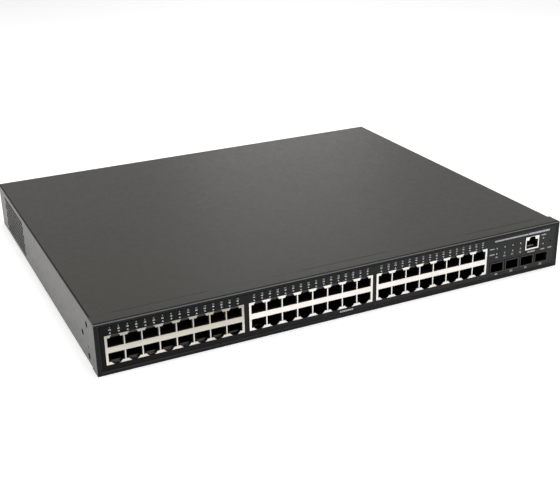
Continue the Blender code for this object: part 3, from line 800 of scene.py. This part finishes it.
def block_outlines(low, high, edge=0.0):
    return [
        jack_outline(x, far, near, up, end, DOMES[up], edge)
        for x in COLUMN_X
        for (far, near, up), end in zip(WINDOWS, (high, low))
    ]


def moved(mesh, x):
    copy = mesh.copy()
    copy.transform(shift(x, 0, 0))
    return copy


SHIELD_FACE = 0.35
SHIELD_WALL = 0.3


def shield_mesh(low, high, outlines, springs=()):
    """A shield about x = 0: a face with its openings, a sleeve behind it, and gaps in it beside its springs."""
    across, up = about(0, (high.x - low.x) / 2), (low.z, high.z)
    face = prisms([rectangle(across, up)], "XZ", low.y, low.y + SHIELD_FACE)
    face = cut(face, prisms(outlines, "XZ", *about(low.y, 1)))
    sleeve = prisms([rectangle(across, up)], "XZ", low.y + 0.2, high.y)
    sleeve = cut(sleeve, prisms([grown(across, up, -SHIELD_WALL)], "XZ", low.y - 1, high.y + 1))
    if springs:
        gaps = [slab(about(x, 2.8), (low.y - 1, low.y + 2.5), about(z, 1)) for x in springs for z in up]
        sleeve = cut(sleeve, together(gaps))
    return join(sleeve, face)


def housing_mesh(low, high, outlines, pocket, latch):
    """A jack housing about x = 0: square pockets, with latch ways that are less deep than the pockets."""
    body = slab(about(0, (high.x - low.x) / 2), (low.y, high.y), (low.z, high.z))
    squares = []
    for outline in outlines:
        us = [u for u, v in outline]
        squares.append(rectangle((min(us), max(us)), sorted((outline[0][1], outline[2][1]))))
    body = cut(body, prisms(squares, "XZ", low.y - 1, low.y + pocket))
    return cut(body, prisms(outlines, "XZ", low.y - 1, low.y + latch))


CONTACT_STEP = 1.02
CONTACT_END = 12.5
CONTACT_THICK = 0.22
JACK_POCKET, JACK_LATCH = 15, 1.4
CONSOLE_POCKET, CONSOLE_LATCH = 13, 9
CONSOLE_WINDOW = (24.0, 32.0, 1)


def contact(x, floor, up, front, deep):
    """One spring contact: a thin strip that rises from the pocket's floor towards its back, with a bent end."""
    path = [(front + y, floor + up * z) for y, z in ((0, 0.2), (1.0, 0.55), (deep * 0.75, 2.9), (deep, 3.0))]
    return prisms([ribbon(path, 0, up * CONTACT_THICK)], "YZ", *about(x, 0.2))


def contacts_mesh(low, jacks, start=8.0):
    """Eight contacts in each jack, given as (middle, floor, direction)."""
    return together([
        contact(x + (i - 3.5) * CONTACT_STEP, floor, up, low.y + start, CONTACT_END - start)
        for x, floor, up in jacks
        for i in range(8)
    ])


def comb_mesh(low, jacks):
    """The comb that keeps each jack's contacts apart, as ribs on the pocket's floor."""
    return together([
        slab(about(x + i * CONTACT_STEP, 0.16), (low.y + 2.2, low.y + 8), sorted((floor - up * 0.1, floor + up * 0.9)))
        for x, floor, up in jacks
        for i in range(-4, 5)
    ])


def jack_blocks():
    low, high = span("jack_shield_1")
    inner_low, inner_high = span("jack_housing_1")
    shield = shield_mesh(low, high, block_outlines(low.z - 0.05, high.z + 0.05), COLUMN_X)
    housing = housing_mesh(inner_low, inner_high, block_outlines(low.z, high.z, EDGE), JACK_POCKET, JACK_LATCH)
    jacks = [(x, far + up * EDGE, up) for x in COLUMN_X for far, near, up in WINDOWS]
    contacts = contacts_mesh(inner_low, jacks)
    comb = comb_mesh(inner_low, jacks)
    for block in (1, 2, 3):
        x = middle(f"jack_shield_{block}").x
        # The first block's shield takes the shaded copy of the tin plate, a painted shade.
        metal = SHADED_TIN if block == 1 else TIN
        stand_in(f"jack_shield_{block}", moved(shield, x), metal, bevel=0.07, smooth=35)
        stand_in(f"jack_housing_{block}", moved(housing, x), JACK_PLASTIC, bevel=0.15, smooth=40)
        piece(f"jack_comb_{block}", moved(comb, x), JACK_PLASTIC, slot="black_plastic")
        piece(f"jack_contacts_{block}", moved(contacts, x), GOLD, slot="tinned_shield")


def console_jack():
    low, high = span("console_jack_shield")
    inner_low, inner_high = span("console_jack_housing")
    x = (low.x + high.x) / 2
    floor = CONSOLE_WINDOW[0]
    outline = jack_outline(0, *CONSOLE_WINDOW, high.z + 0.05, CONSOLE_DOME)
    shield = moved(shield_mesh(low, high, [outline]), x)
    piece("console_shield_look", shield, TIN, "console_jack_shield", bevel=0.07)
    behind = jack_outline(0, *CONSOLE_WINDOW, high.z, CONSOLE_DOME, EDGE)
    housing = moved(housing_mesh(inner_low, inner_high, [behind], CONSOLE_POCKET, CONSOLE_LATCH), x)
    piece("console_housing_look", housing, JACK_PLASTIC, "console_jack_housing", bevel=0.15, smooth=40)
    jacks = [(0, floor + EDGE, 1)]
    piece("console_comb", moved(comb_mesh(inner_low, jacks), x), JACK_PLASTIC, slot="black_plastic")
    piece("console_contacts", moved(contacts_mesh(inner_low, jacks, 2.4), x), TIN, slot="tinned_shield")
    bar = slab((-3.4, 3.8), (inner_low.y + 1.9, inner_low.y + 2.6), (floor + 0.9, floor + 1.6))
    piece("console_contact_bar", moved(bar, x), WHITE_PLASTIC, slot="white_plastic", bevel=0.15)


# ---- SFP cages


CAGE_WALL = 0.4
CAGE_LIP = 0.7
FINGER_Y = (0.7, 2.2, 5.1)


def cage_mesh(low, high):
    """A cage about x = 0: thin sheet with a turned-in lip at its mouth and vent holes in its top."""
    across, up = about(0, (high.x - low.x) / 2), (low.z, high.z)
    tube = prisms([rectangle(across, up)], "XZ", low.y, high.y)
    mouth = prisms([grown(across, up, -CAGE_LIP)], "XZ", *about(low.y, 1))
    hollow = prisms([grown(across, up, -CAGE_WALL)], "XZ", low.y + 0.5, high.y - CAGE_WALL)
    vents = [circle(x, low.y + y, 1.1, 12) for x in (-4, 0, 4) for y in (14, 20, 26, 32)]
    return cut(tube, join(hollow, mouth), prisms(vents, "XY", *about(high.z, 1)))


def finger_meshes(low, high):
    """Springs folded inwards behind the lip: six along the floor and the roof, three along each wall."""
    half = (high.x - low.x) / 2
    fingers = []
    for side, level in ((-1, low.z), (1, high.z)):
        path = [(low.y + y, level - side * inset) for y, inset in zip(FINGER_Y, (0.5, 1.15, 0.6))]
        for i in range(6):
            fingers.append(prisms([ribbon(path, 0, -side * 0.2)], "YZ", *about((i - 2.5) * 2.05, 0.8)))
        path = [(side * (half - inset), low.y + y) for y, inset in zip(FINGER_Y, (0.5, 1.1, 0.6))]
        for i in (-1, 0, 1):
            level = (low.z + high.z) / 2 + i * 2.3
            fingers.append(prisms([ribbon(path, -side * 0.2, 0)], "XY", *about(level, 0.9)))
    return fingers


def sfp_cages():
    """The cages, their insides and springs painted dark as shade, and the connector at their back."""
    low, high = span("sfp_cage_1")
    half_x, half_z, middle_z = (high.x - low.x) / 2, (high.z - low.z) / 2, (low.z + high.z) / 2
    cage = cage_mesh(low, high)
    fingers = together(finger_meshes(low, high))
    block = join(
        slab(about(0, 5.6), (high.y - 11, high.y - 1.2), (low.z + 1.2, high.z - 1.6)),
        slab(about(0, 5.0), (high.y - 15, high.y - 10), (low.z + 3.0, high.z - 3.4)),
    )
    block = cut(block, slab(about(0, 4.4), (high.y - 16, high.y - 8), (low.z + 4.2, low.z + 5.4)))
    for i in (1, 2, 3, 4):
        x = middle(f"sfp_cage_{i}").x
        look = stand_in(f"sfp_cage_{i}", moved(cage, x), CAGE_METAL, bevel=0.08)
        look.data.materials.append(CAGE_PAINTED_SHADE)
        # Faces inside each cage take the darker copy, as painted shade.
        for face in look.data.polygons:
            spot = face.center / MM
            if abs(spot.x - x) < half_x - 0.2 and abs(spot.z - middle_z) < half_z - 0.2 and spot.y > low.y + 0.1:
                face.material_index = 1
        # The springs take the darker copy too, as painted shade.
        piece(f"sfp_fingers_{i}", moved(fingers, x), CAGE_PAINTED_SHADE, slot="cage_metal")
        piece(f"sfp_connector_{i}", moved(block, x), BLACK_PLASTIC, slot="black_plastic", bevel=0.1)


# ---- light pipes


def lens_mesh(places, size, root):
    """Light-pipe ends that pass through the label, with a low raised face."""
    face = LABEL_LOW.y
    shanks = prisms([lens_outline(x, z, size) for x, z in places], "XZ", face - 0.05, root)
    caps = prisms([lens_outline(x, z, size, -0.15) for x, z in places], "XZ", face - 0.1, face)
    return together([shanks, caps])


def light_pipes():
    root = FRONT + 4.0
    rows = {f"port_light_pipe_{b}": [(x, PORT_LIGHT_Z) for x in PORT_LIGHT_X[16 * (b - 1) : 16 * b]] for b in (1, 2, 3)}
    rows["status_light_pipe"] = [(x, z) for x in STATUS_X for z in STATUS_Z]
    rows["mode_light_pipe"] = [(MODE_X, z) for z in STATUS_Z]
    for node, places in rows.items():
        finer(node, LIGHT_PIPE, 0.12)
        size = PORT_LENS if "port" in node else STATUS_LENS
        piece(node + "_ends", lens_mesh(places, size, root), LIGHT_PIPE, slot="clear_plastic", smooth=50)


# ---- power inlet and screws


INLET_HALF = (12.1, 8.3)
INLET_CUT = 4.2
INLET_DEPTH = 17
BLADES = ((-7, -1.5, 3.5), (7, -1.5, 3.5), (0, 3.0, 1.5))


def power_inlet():
    """A C14 inlet: flange with rounded corners, recess with two cut corners, three metal blades."""
    low, high = span("power_inlet")
    x, _, z = middle("power_inlet")
    flange = prisms([rounded((low.x, high.x), (low.z, high.z), 3, 6)], "XZ", high.y - 2.0, high.y)
    body = slab(about(x, 13.7), (low.y, high.y - 1), about(z, 10))
    (left, right), (foot, top) = about(x, INLET_HALF[0]), about(z, INLET_HALF[1])
    recess = [(left, foot), (right, foot), (right, top - INLET_CUT), (right - INLET_CUT, top)]
    recess += [(left + INLET_CUT, top), (left, top - INLET_CUT)]
    inlet = cut(join(flange, body), prisms([recess], "XZ", high.y - INLET_DEPTH, high.y + 1))
    stand_in("power_inlet", inlet, BLACK_PLASTIC, bevel=0.35, segments=3)
    blades = [slab(about(x + u, 1), (high.y - 18, high.y - short), about(z + v, 2)) for u, v, short in BLADES]
    piece("inlet_blades", together(blades), BRIGHT_STEEL, slot="zinc_steel", bevel=0.45, segments=3)


SCREW_HEAD = ((3.0, 0.0), (3.0, 0.45), (2.7, 0.9), (2.1, 1.2), (1.1, 1.3))


def screws():
    """Pan-head screws with a cross recess."""
    for node in ("cover_screw_1", "cover_screw_2", "cover_screw_3", "earth_screw"):
        low, high = span(node)
        x, _, z = middle(node)
        body = join(lathed(SCREW_HEAD, "XZ", x, z, high.y - 1.3), rod("Y", (x, low.y + 3.2, z), 1.35, 6.3, 16))
        for angle in (20, 110):
            slot = slab(about(0, 1.7), about(0, 1), about(0, 0.3))
            slot.transform(shift(x, high.y, z) @ Matrix.Rotation(math.radians(angle), 4, "Y"))
            body = cut(body, slot)
        stand_in(node, body, BRIGHT_STEEL, bevel=0.06, smooth=40)


# ---- fans


FAN_BORE = 18.8
FAN_HOLE_SPREAD = (-16, 16)
BLADE_COUNT = 7
BLADE_ROOT, BLADE_TIP = 9.2, 17.6


def fan_frames():
    for node in ("fan_frame_1", "fan_frame_2"):
        low, high = span(node)
        x, y, z = low.x, middle(node).y, middle(node).z
        holes = [circle(y, z, FAN_BORE, 64)]
        holes += [circle(y + a, z + b, 2.1) for a in FAN_HOLE_SPREAD for b in FAN_HOLE_SPREAD]
        look = prisms([rounded(about(y, (high.z - low.z) / 2), (low.z, high.z), 3, 6)], "YZ", x, high.x)
        look = cut(look, prisms(holes, "YZ", x - 1, high.x + 1))
        hub = rod("X", (x + 1.25, y, z), 10, 2.5, 48)
        for angle in (45, 135, 225, 315):
            strut = box((0, 8, -0.9), (2.0, FAN_BORE + 0.6, 0.9))
            strut.transform(shift(x, y, z) @ Matrix.Rotation(math.radians(angle), 4, "X"))
            hub = join(hub, strut)
        look = join(look, join(hub, rod("X", (x + 8, y, z), 1.5, 12, 24)))
        stand_in(node, look, BLACK_PLASTIC, bevel=0.2, smooth=40)


def blade_mesh(spot, turn, x_low, x_high):
    """One curved fan blade: a cambered strip whose pitch eases from root to tip."""
    bm = bmesh.new()
    across, along = 8, 5
    grid = []
    for r in range(along + 1):
        share = r / along
        radius = BLADE_ROOT + (BLADE_TIP - BLADE_ROOT) * share
        pitch = math.radians(48 - 16 * share)
        chord = (x_high - x_low) / math.cos(math.radians(20)) * (0.85 + 0.15 * share)
        row = []
        for c in range(across + 1):
            s = c / across - 0.5
            camber = 0.09 * chord * (1 - 4 * s * s)
            x = (x_low + x_high) / 2 + s * chord * math.cos(pitch) + camber * math.sin(pitch)
            arc_length = s * chord * math.sin(pitch) - camber * math.cos(pitch)
            angle = turn + arc_length / radius + 0.25 * share
            row.append(bm.verts.new(metres(x, spot.y + radius * math.cos(angle), spot.z + radius * math.sin(angle))))
        grid.append(row)
    for r in range(along):
        for c in range(across):
            bm.faces.new((grid[r][c], grid[r][c + 1], grid[r + 1][c + 1], grid[r + 1][c]))
    obj = held(mesh_of(bm))
    wall = obj.modifiers.new("wall", "SOLIDIFY")
    wall.thickness = 0.8 * MM
    wall.offset = 0.0
    return settled(obj)


def fan_rotors():
    for i in (1, 2):
        node = f"fan_rotor_{i}"
        low, high = span(node)
        spot = middle(f"fan_frame_{i}")
        hub = rod("X", ((low.x + high.x) / 2, spot.y, spot.z), 10, high.x - low.x, 48)
        hub = cut(hub, rod("X", (low.x, spot.y, spot.z), 1.8, 17, 24))
        turns = [2 * math.pi * b / BLADE_COUNT for b in range(BLADE_COUNT)]
        blades = [blade_mesh(spot, turn, low.x + 1.2, high.x - 1.2) for turn in turns]
        body = f"rotor_{i}"
        piece(f"fan_hub_{i}", hub, BLACK_PLASTIC, node, body=body, bevel=0.8, segments=3, smooth=40)
        piece(f"fan_blades_{i}", together(blades), BLACK_PLASTIC, slot="black_plastic", body=body, smooth=50)


# ---- boards and the parts on them

BOARD_TOP = span("main_board")[1].z
SMALL_PARTS = (
    (-190, -130, 12, 4, 1.6, 0.8, 0.7, 4.0),
    (-70, -128, 14, 3, 1.6, 0.8, 0.7, 4.0),
    (60, -128, 14, 3, 1.6, 0.8, 0.7, 4.0),
    (-140, -40, 18, 3, 2.0, 1.2, 0.9, 4.4),
    (-20, -38, 20, 3, 2.0, 1.2, 0.9, 4.4),
    (100, -20, 14, 3, 1.6, 0.8, 0.7, 4.0),
)
PACKS = ((-150, -110), (-110, -110), (-30, -110), (10, -110), (60, -108), (100, -108), (70, -60), (90, -40))
COILS = ((-60, -50), (-42, -50), (-24, -50), (150, -95), (165, -95))


def small_parts():
    """Rows of tiny chip resistors and capacitors, from (x, y, columns, rows, length, width, height, step)."""
    bodies, ends = [], []
    for x, y, columns, rows, length, width, tall, step in SMALL_PARTS:
        for u, v in ((x + c * step, y + r * step * 0.8) for c in range(columns) for r in range(rows)):
            deep = (v, v + width)
            bodies.append(slab((u, u + length), deep, (BOARD_TOP, BOARD_TOP + tall)))
            for a, b in ((-0.25, 0.05), (length - 0.05, length + 0.25)):
                ends.append(slab((u + a, u + b), deep, (BOARD_TOP, BOARD_TOP + tall * 1.03)))
    piece("main_board_small_parts", together(bodies), CERAMIC, slot="chip_body")
    piece("main_board_solder_ends", together(ends), BRIGHT_STEEL, slot="tinned_shield")


def boards():
    for node in ("main_board", "power_board", "console_board"):
        finer(node, BOARD, 0.06)
    small_parts()
    packs, legs = zip(*(leaded_pack(x, y) for x, y in PACKS))
    piece("main_board_packs", together(packs), CHIP_EPOXY, slot="chip_body", bevel=0.15)
    piece("main_board_pack_legs", together(legs), BRIGHT_STEEL, slot="tinned_shield")
    coils = prisms([rounded(about(x, 5), about(y, 5), 1.5) for x, y in COILS], "XY", BOARD_TOP, BOARD_TOP + 4.5)
    piece("main_board_coils", coils, FERRITE, slot="chip_body", bevel=0.4)
    cans = together([rod("Z", (x + 11, y + 9, BOARD_TOP + 3), 3, 6, 24) for x, y in COILS])
    piece("main_board_capacitors", cans, PLAIN_FINS, slot="plain_aluminium", bevel=0.4, segments=3, smooth=40)


PACK_HALF = (7, 4)
PACK_TALL = 2.2
LEG_BENDS = ((-0.2, 1.3), (0.7, 1.3), (1.0, 0.2), (1.7, 0.2))


def leaded_pack(x, y):
    """A flat chip with two rows of bent legs: (body, legs)."""
    wide, deep = PACK_HALF
    body = slab(about(x, wide), about(y, deep), (BOARD_TOP + 0.2, BOARD_TOP + PACK_TALL))
    dot = rod("Z", (x - wide + 1.4, y - deep + 1.4, BOARD_TOP + PACK_TALL), 0.5, 0.3, 16)
    pins = []
    for side in (-1, 1):
        path = [(y + side * (deep + out), BOARD_TOP + up) for out, up in LEG_BENDS]
        leg = ribbon(path, -side * 0.12, -0.15)
        pins += [prisms([leg], "YZ", *about(x + (i - 3.5) * wide / 4, 0.25)) for i in range(8)]
    return cut(body, dot), together(pins)


LID_EDGE = 3


def chips():
    """Chips with a lid on a laminate base, and the finned blocks over them."""
    for node in ("switch_chip_1", "switch_chip_2", "processor_chip"):
        low, high = span(node)
        base = box(low, (high.x, high.y, low.z + 1.0))
        lid = box((low.x + LID_EDGE, low.y + LID_EDGE, low.z + 0.8), (high.x - LID_EDGE, high.y - LID_EDGE, high.z))
        mark = rod("Z", (low.x + 4.5, low.y + 4.5, high.z), 0.6, 0.4, 16)
        stand_in(node, cut(join(base, lid), mark), CHIP_EPOXY, bevel=0.25)
    for node in ("switch_heatsink_1", "switch_heatsink_2", "processor_heatsink"):
        low, high = span(node)
        across, up, y = (low.x - 1, high.x + 1), (low.z + 4, high.z + 1), middle(node).y
        slots = [slab(across, about(y + a, 0.8), up) for a in (-12, 0, 12)]
        stand_in(node, cut(shape_of(node), together(slots)), BLACK_FINS, bevel=0.15)


def standoffs():
    for node in STANDOFFS:
        spot = middle(node)
        stand = cut(shape_of(node), rod("Z", (spot.x, spot.y, span(node)[1].z), 1.25, 5, 20))
        stand_in(node, stand, BRIGHT_STEEL, bevel=0.15)


def link_socket():
    """A row of seven square ways, each with its pin."""
    node = "power_link_socket"
    low, high = span(node)
    y, step = middle(node).y, (high.x - low.x) / 7
    places = [low.x + (i + 0.5) * step for i in range(7)]
    holes = [slab(about(x, 1.3), (low.y + 1.2, high.y - 1.2), (low.z + 2, high.z + 1)) for x in places]
    stand_in(node, cut(box(low, high), together(holes)), WHITE_PLASTIC, bevel=0.3)
    pins = [slab(about(x, 0.4), about(y, 0.4), (low.z, high.z - 2)) for x in places]
    piece("power_link_pins", together(pins), BRIGHT_STEEL, slot="tinned_shield", bevel=0.1)


BULK_CAN = ((9.6, 0), (10.5, 0.9), (10.5, 3.0), (9.7, 3.8), (10.5, 4.6), (10.5, 33.2), (9.8, 34))
OUTPUT_CAN = ((5.3, 0), (6.0, 0.7), (6.0, 2.4), (5.4, 3.0), (6.0, 3.6), (6.0, 19.4), (5.5, 20))


def capacitors():
    """Sleeved cans with a rolled groove near the base; the output cans have a scored top."""
    low, high = span("bulk_capacitor")
    spot = middle("bulk_capacitor")
    stand_in("bulk_capacitor", lathed(BULK_CAN, "YZ", spot.y, spot.z, low.x, 40), SLEEVE, smooth=50)
    top = rod("X", (high.x + 0.02, spot.y, spot.z), 8.6, 0.1, 40)
    piece("bulk_capacitor_top", top, PLAIN_FINS, slot="plain_aluminium")
    for i in (1, 2, 3):
        node = f"output_capacitor_{i}"
        low, high = span(node)
        spot = middle(node)
        stand_in(node, lathed(OUTPUT_CAN, "XY", spot.x, spot.y, low.z), SLEEVE, smooth=50)
        top = rod("Z", (spot.x, spot.y, high.z + 0.02), 4.7, 0.1)
        for u, v in ((4, 0.15), (0.15, 4)):
            top = cut(top, slab(about(spot.x, u), about(spot.y, v), about(high.z, 1)))
        piece(f"output_capacitor_top_{i}", top, PLAIN_FINS, slot="plain_aluminium")


def transformer():
    low, high = span("transformer")
    x, y = middle("transformer")[:2]
    windows = [slab(about(x + side * 14, 3.2), about(y, 20), (low.z + 4, low.z + 20)) for side in (-1, 1)]
    core = cut(slab(about(x, 17), about(y, 14), (low.z, high.z)), together(windows))
    piece("transformer_core", core, FERRITE, "transformer", bevel=0.5)
    winding = prisms([rounded(about(x, 13), (low.z + 4.3, low.z + 19.7), 3)], "XZ", *about(y, 13.4))
    wide = prisms([rounded(about(x, 11), (low.z + 4, low.z + 20), 2.5)], "XZ", *about(y, 19))
    piece("transformer_winding", join(wide, winding), TAPE, slot="winding_tape", bevel=0.3)


def line_choke():
    """A ring core wound over 300 degrees, on a foot."""
    low = span("line_choke")[0]
    x, y = middle("line_choke")[:2]
    centre = Vector((x, y, low.z + 11))
    coil = []
    for i in range(34):
        a = math.radians(-240 + i * 300 / 33)
        out = Vector((math.cos(a), 0, math.sin(a)))
        coil.append(wire_loop(centre + out * 8, out, 2.45, 4.1, 0.5))
    core = cut(rod("Y", centre, 10.3, 7.2, 48), rod("Y", centre, 5.7, 9, 48))
    foot = slab(about(x, 7), about(y, 5.2), (low.z, low.z + 2.0))
    piece("line_choke_core", core, FERRITE, "line_choke", slot="chip_body", bevel=0.3, smooth=40)
    piece("line_choke_foot", foot, BLACK_PLASTIC, slot="black_plastic", bevel=0.2)
    piece("line_choke_turns", together(coil), COPPER, slot="copper_winding", smooth=60)


def power_transistors():
    """The power board's heatsink with three transistors on it."""
    finer("power_heatsink", PLAIN_FINS, 0.2)
    low, high = span("power_heatsink")
    packs, tabs = [], []
    for x in (low.x + 10, low.x + 30, low.x + 50):
        packs.append(slab(about(x, 5), (high.y, high.y + 4), (low.z + 5, low.z + 14)))
        tab = slab(about(x, 5), (high.y, high.y + 1.2), (low.z + 13.6, low.z + 20))
        tabs.append(cut(tab, rod("Y", (x, high.y, low.z + 17), 1.8, 4, 20)))
        for u in (x - 2.5, x, x + 2.5):
            tabs.append(slab(about(u, 0.4), (high.y + 1.6, high.y + 2.2), (low.z - 0.2, low.z + 5.2)))
    piece("power_transistors", together(packs), CHIP_EPOXY, slot="chip_body", bevel=0.3)
    piece("power_transistor_tabs", together(tabs), BRIGHT_STEEL, slot="tinned_shield", bevel=0.08)


def wire_loop(centre, out, radial, along, wire, steps=20, sides=6):
    """One turn of round wire: an oval loop about the ring's section at centre."""
    side = Vector((0, 1, 0))
    rings = []
    for i in range(steps):
        a = 2 * math.pi * i / steps
        spot = centre + out * radial * math.cos(a) + side * along * math.sin(a)
        normal = (out * math.cos(a) / radial + side * math.sin(a) / along).normalized()
        rings.append([spot + normal * u + out.cross(side) * v for u, v in circle(0, 0, wire, sides)])
    return skinned(rings, loop=True)


def reset_parts():
    finer("reset_switch", BLACK_PLASTIC, 0.25)
    low, high = span("reset_button")
    button = rod("Y", middle("reset_button"), (high.x - low.x) / 2, high.y - low.y)
    stand_in("reset_button", button, WHITE_PLASTIC, body="reset_key", bevel=0.25, segments=3)


# ---- camera, light and floor

CAMERA_PLACE = (-0.36814, -0.81977, 0.37922)
CAMERA_TURN = (66.547, 1.058, -25.805)
PHOTO_LENS = 62.604


def placed(data, place, turn):
    obj = bpy.data.objects.new(data.name, data)
    obj.location = place
    obj.rotation_euler = turn
    bpy.context.scene.collection.objects.link(obj)
    return obj


def camera():
    data = bpy.data.cameras.new("photo_view")
    data.lens = PHOTO_LENS
    data.sensor_fit = "HORIZONTAL"
    data.sensor_width = 36.0
    data.clip_start = 0.01
    data.clip_end = 50.0
    bpy.context.scene.camera = placed(data, CAMERA_PLACE, [math.radians(a) for a in CAMERA_TURN])


def lamp(name, place, size, watts):
    """An area lamp that faces the origin, unseen by the camera."""
    data = bpy.data.lights.new(name, "AREA")
    data.shape = "RECTANGLE"
    data.size, data.size_y = size
    data.energy = watts
    placed(data, place, (-Vector(place)).to_track_quat("-Z", "Y").to_euler()).visible_camera = False


def sky():
    """A pale studio: dim at the horizon, bright above it and dim again overhead."""
    world = bpy.data.worlds.new("studio")
    world.use_nodes = True
    tree = world.node_tree
    split = tree.nodes.new("ShaderNodeSeparateXYZ")
    tree.links.new(tree.nodes.new("ShaderNodeTexCoord").outputs["Generated"], split.inputs["Vector"])
    ramp = tree.nodes.new("ShaderNodeValToRGB")
    ramp.color_ramp.interpolation = "EASE"
    stops = ramp.color_ramp.elements
    while len(stops) < len(SKY):
        stops.new(0.5)
    for stop, (height, level) in zip(stops, SKY):
        stop.position = height
        stop.color = (level, level, level, 1)
    tree.links.new(split.outputs["Z"], ramp.inputs["Fac"])
    back = tree.nodes["Background"]
    tree.links.new(ramp.outputs["Color"], back.inputs["Color"])
    back.inputs["Strength"].default_value = 1.0
    bpy.context.scene.world = world


SKY = ((0.03, 0.3), (0.16, 0.62), (0.33, 0.7), (0.58, 0.22))


def studio():
    sky()
    lamp("soft_top", (0.15, -0.1, 1.7), (1.3, 1.3), 23)
    lamp("soft_left", (-1.7, -0.1, 0.8), (1.2, 1.0), 13)
    lamp("soft_back", (0.95, 1.9, 0.55), (0.6, 0.6), 1.0)
    floor = held(box((-6000, -6000, -20), (6000, 6000, 0)))
    floor.name = floor.data.name = "studio_floor"
    floor.data.materials.append(floor_material())
    bpy.context.scene.view_settings.view_transform = "Standard"


# ---- everything in its order

studio()
camera()
front_bezel()
front_label()
printed_marks()
light_pipes()
jack_blocks()
console_jack()
sfp_cages()
case_cover()
base_pan()
rear_panel()
power_inlet()
screws()
fan_frames()
fan_rotors()
boards()
chips()
standoffs()
link_socket()
capacitors()
transformer()
line_choke()
power_transistors()
reset_parts()
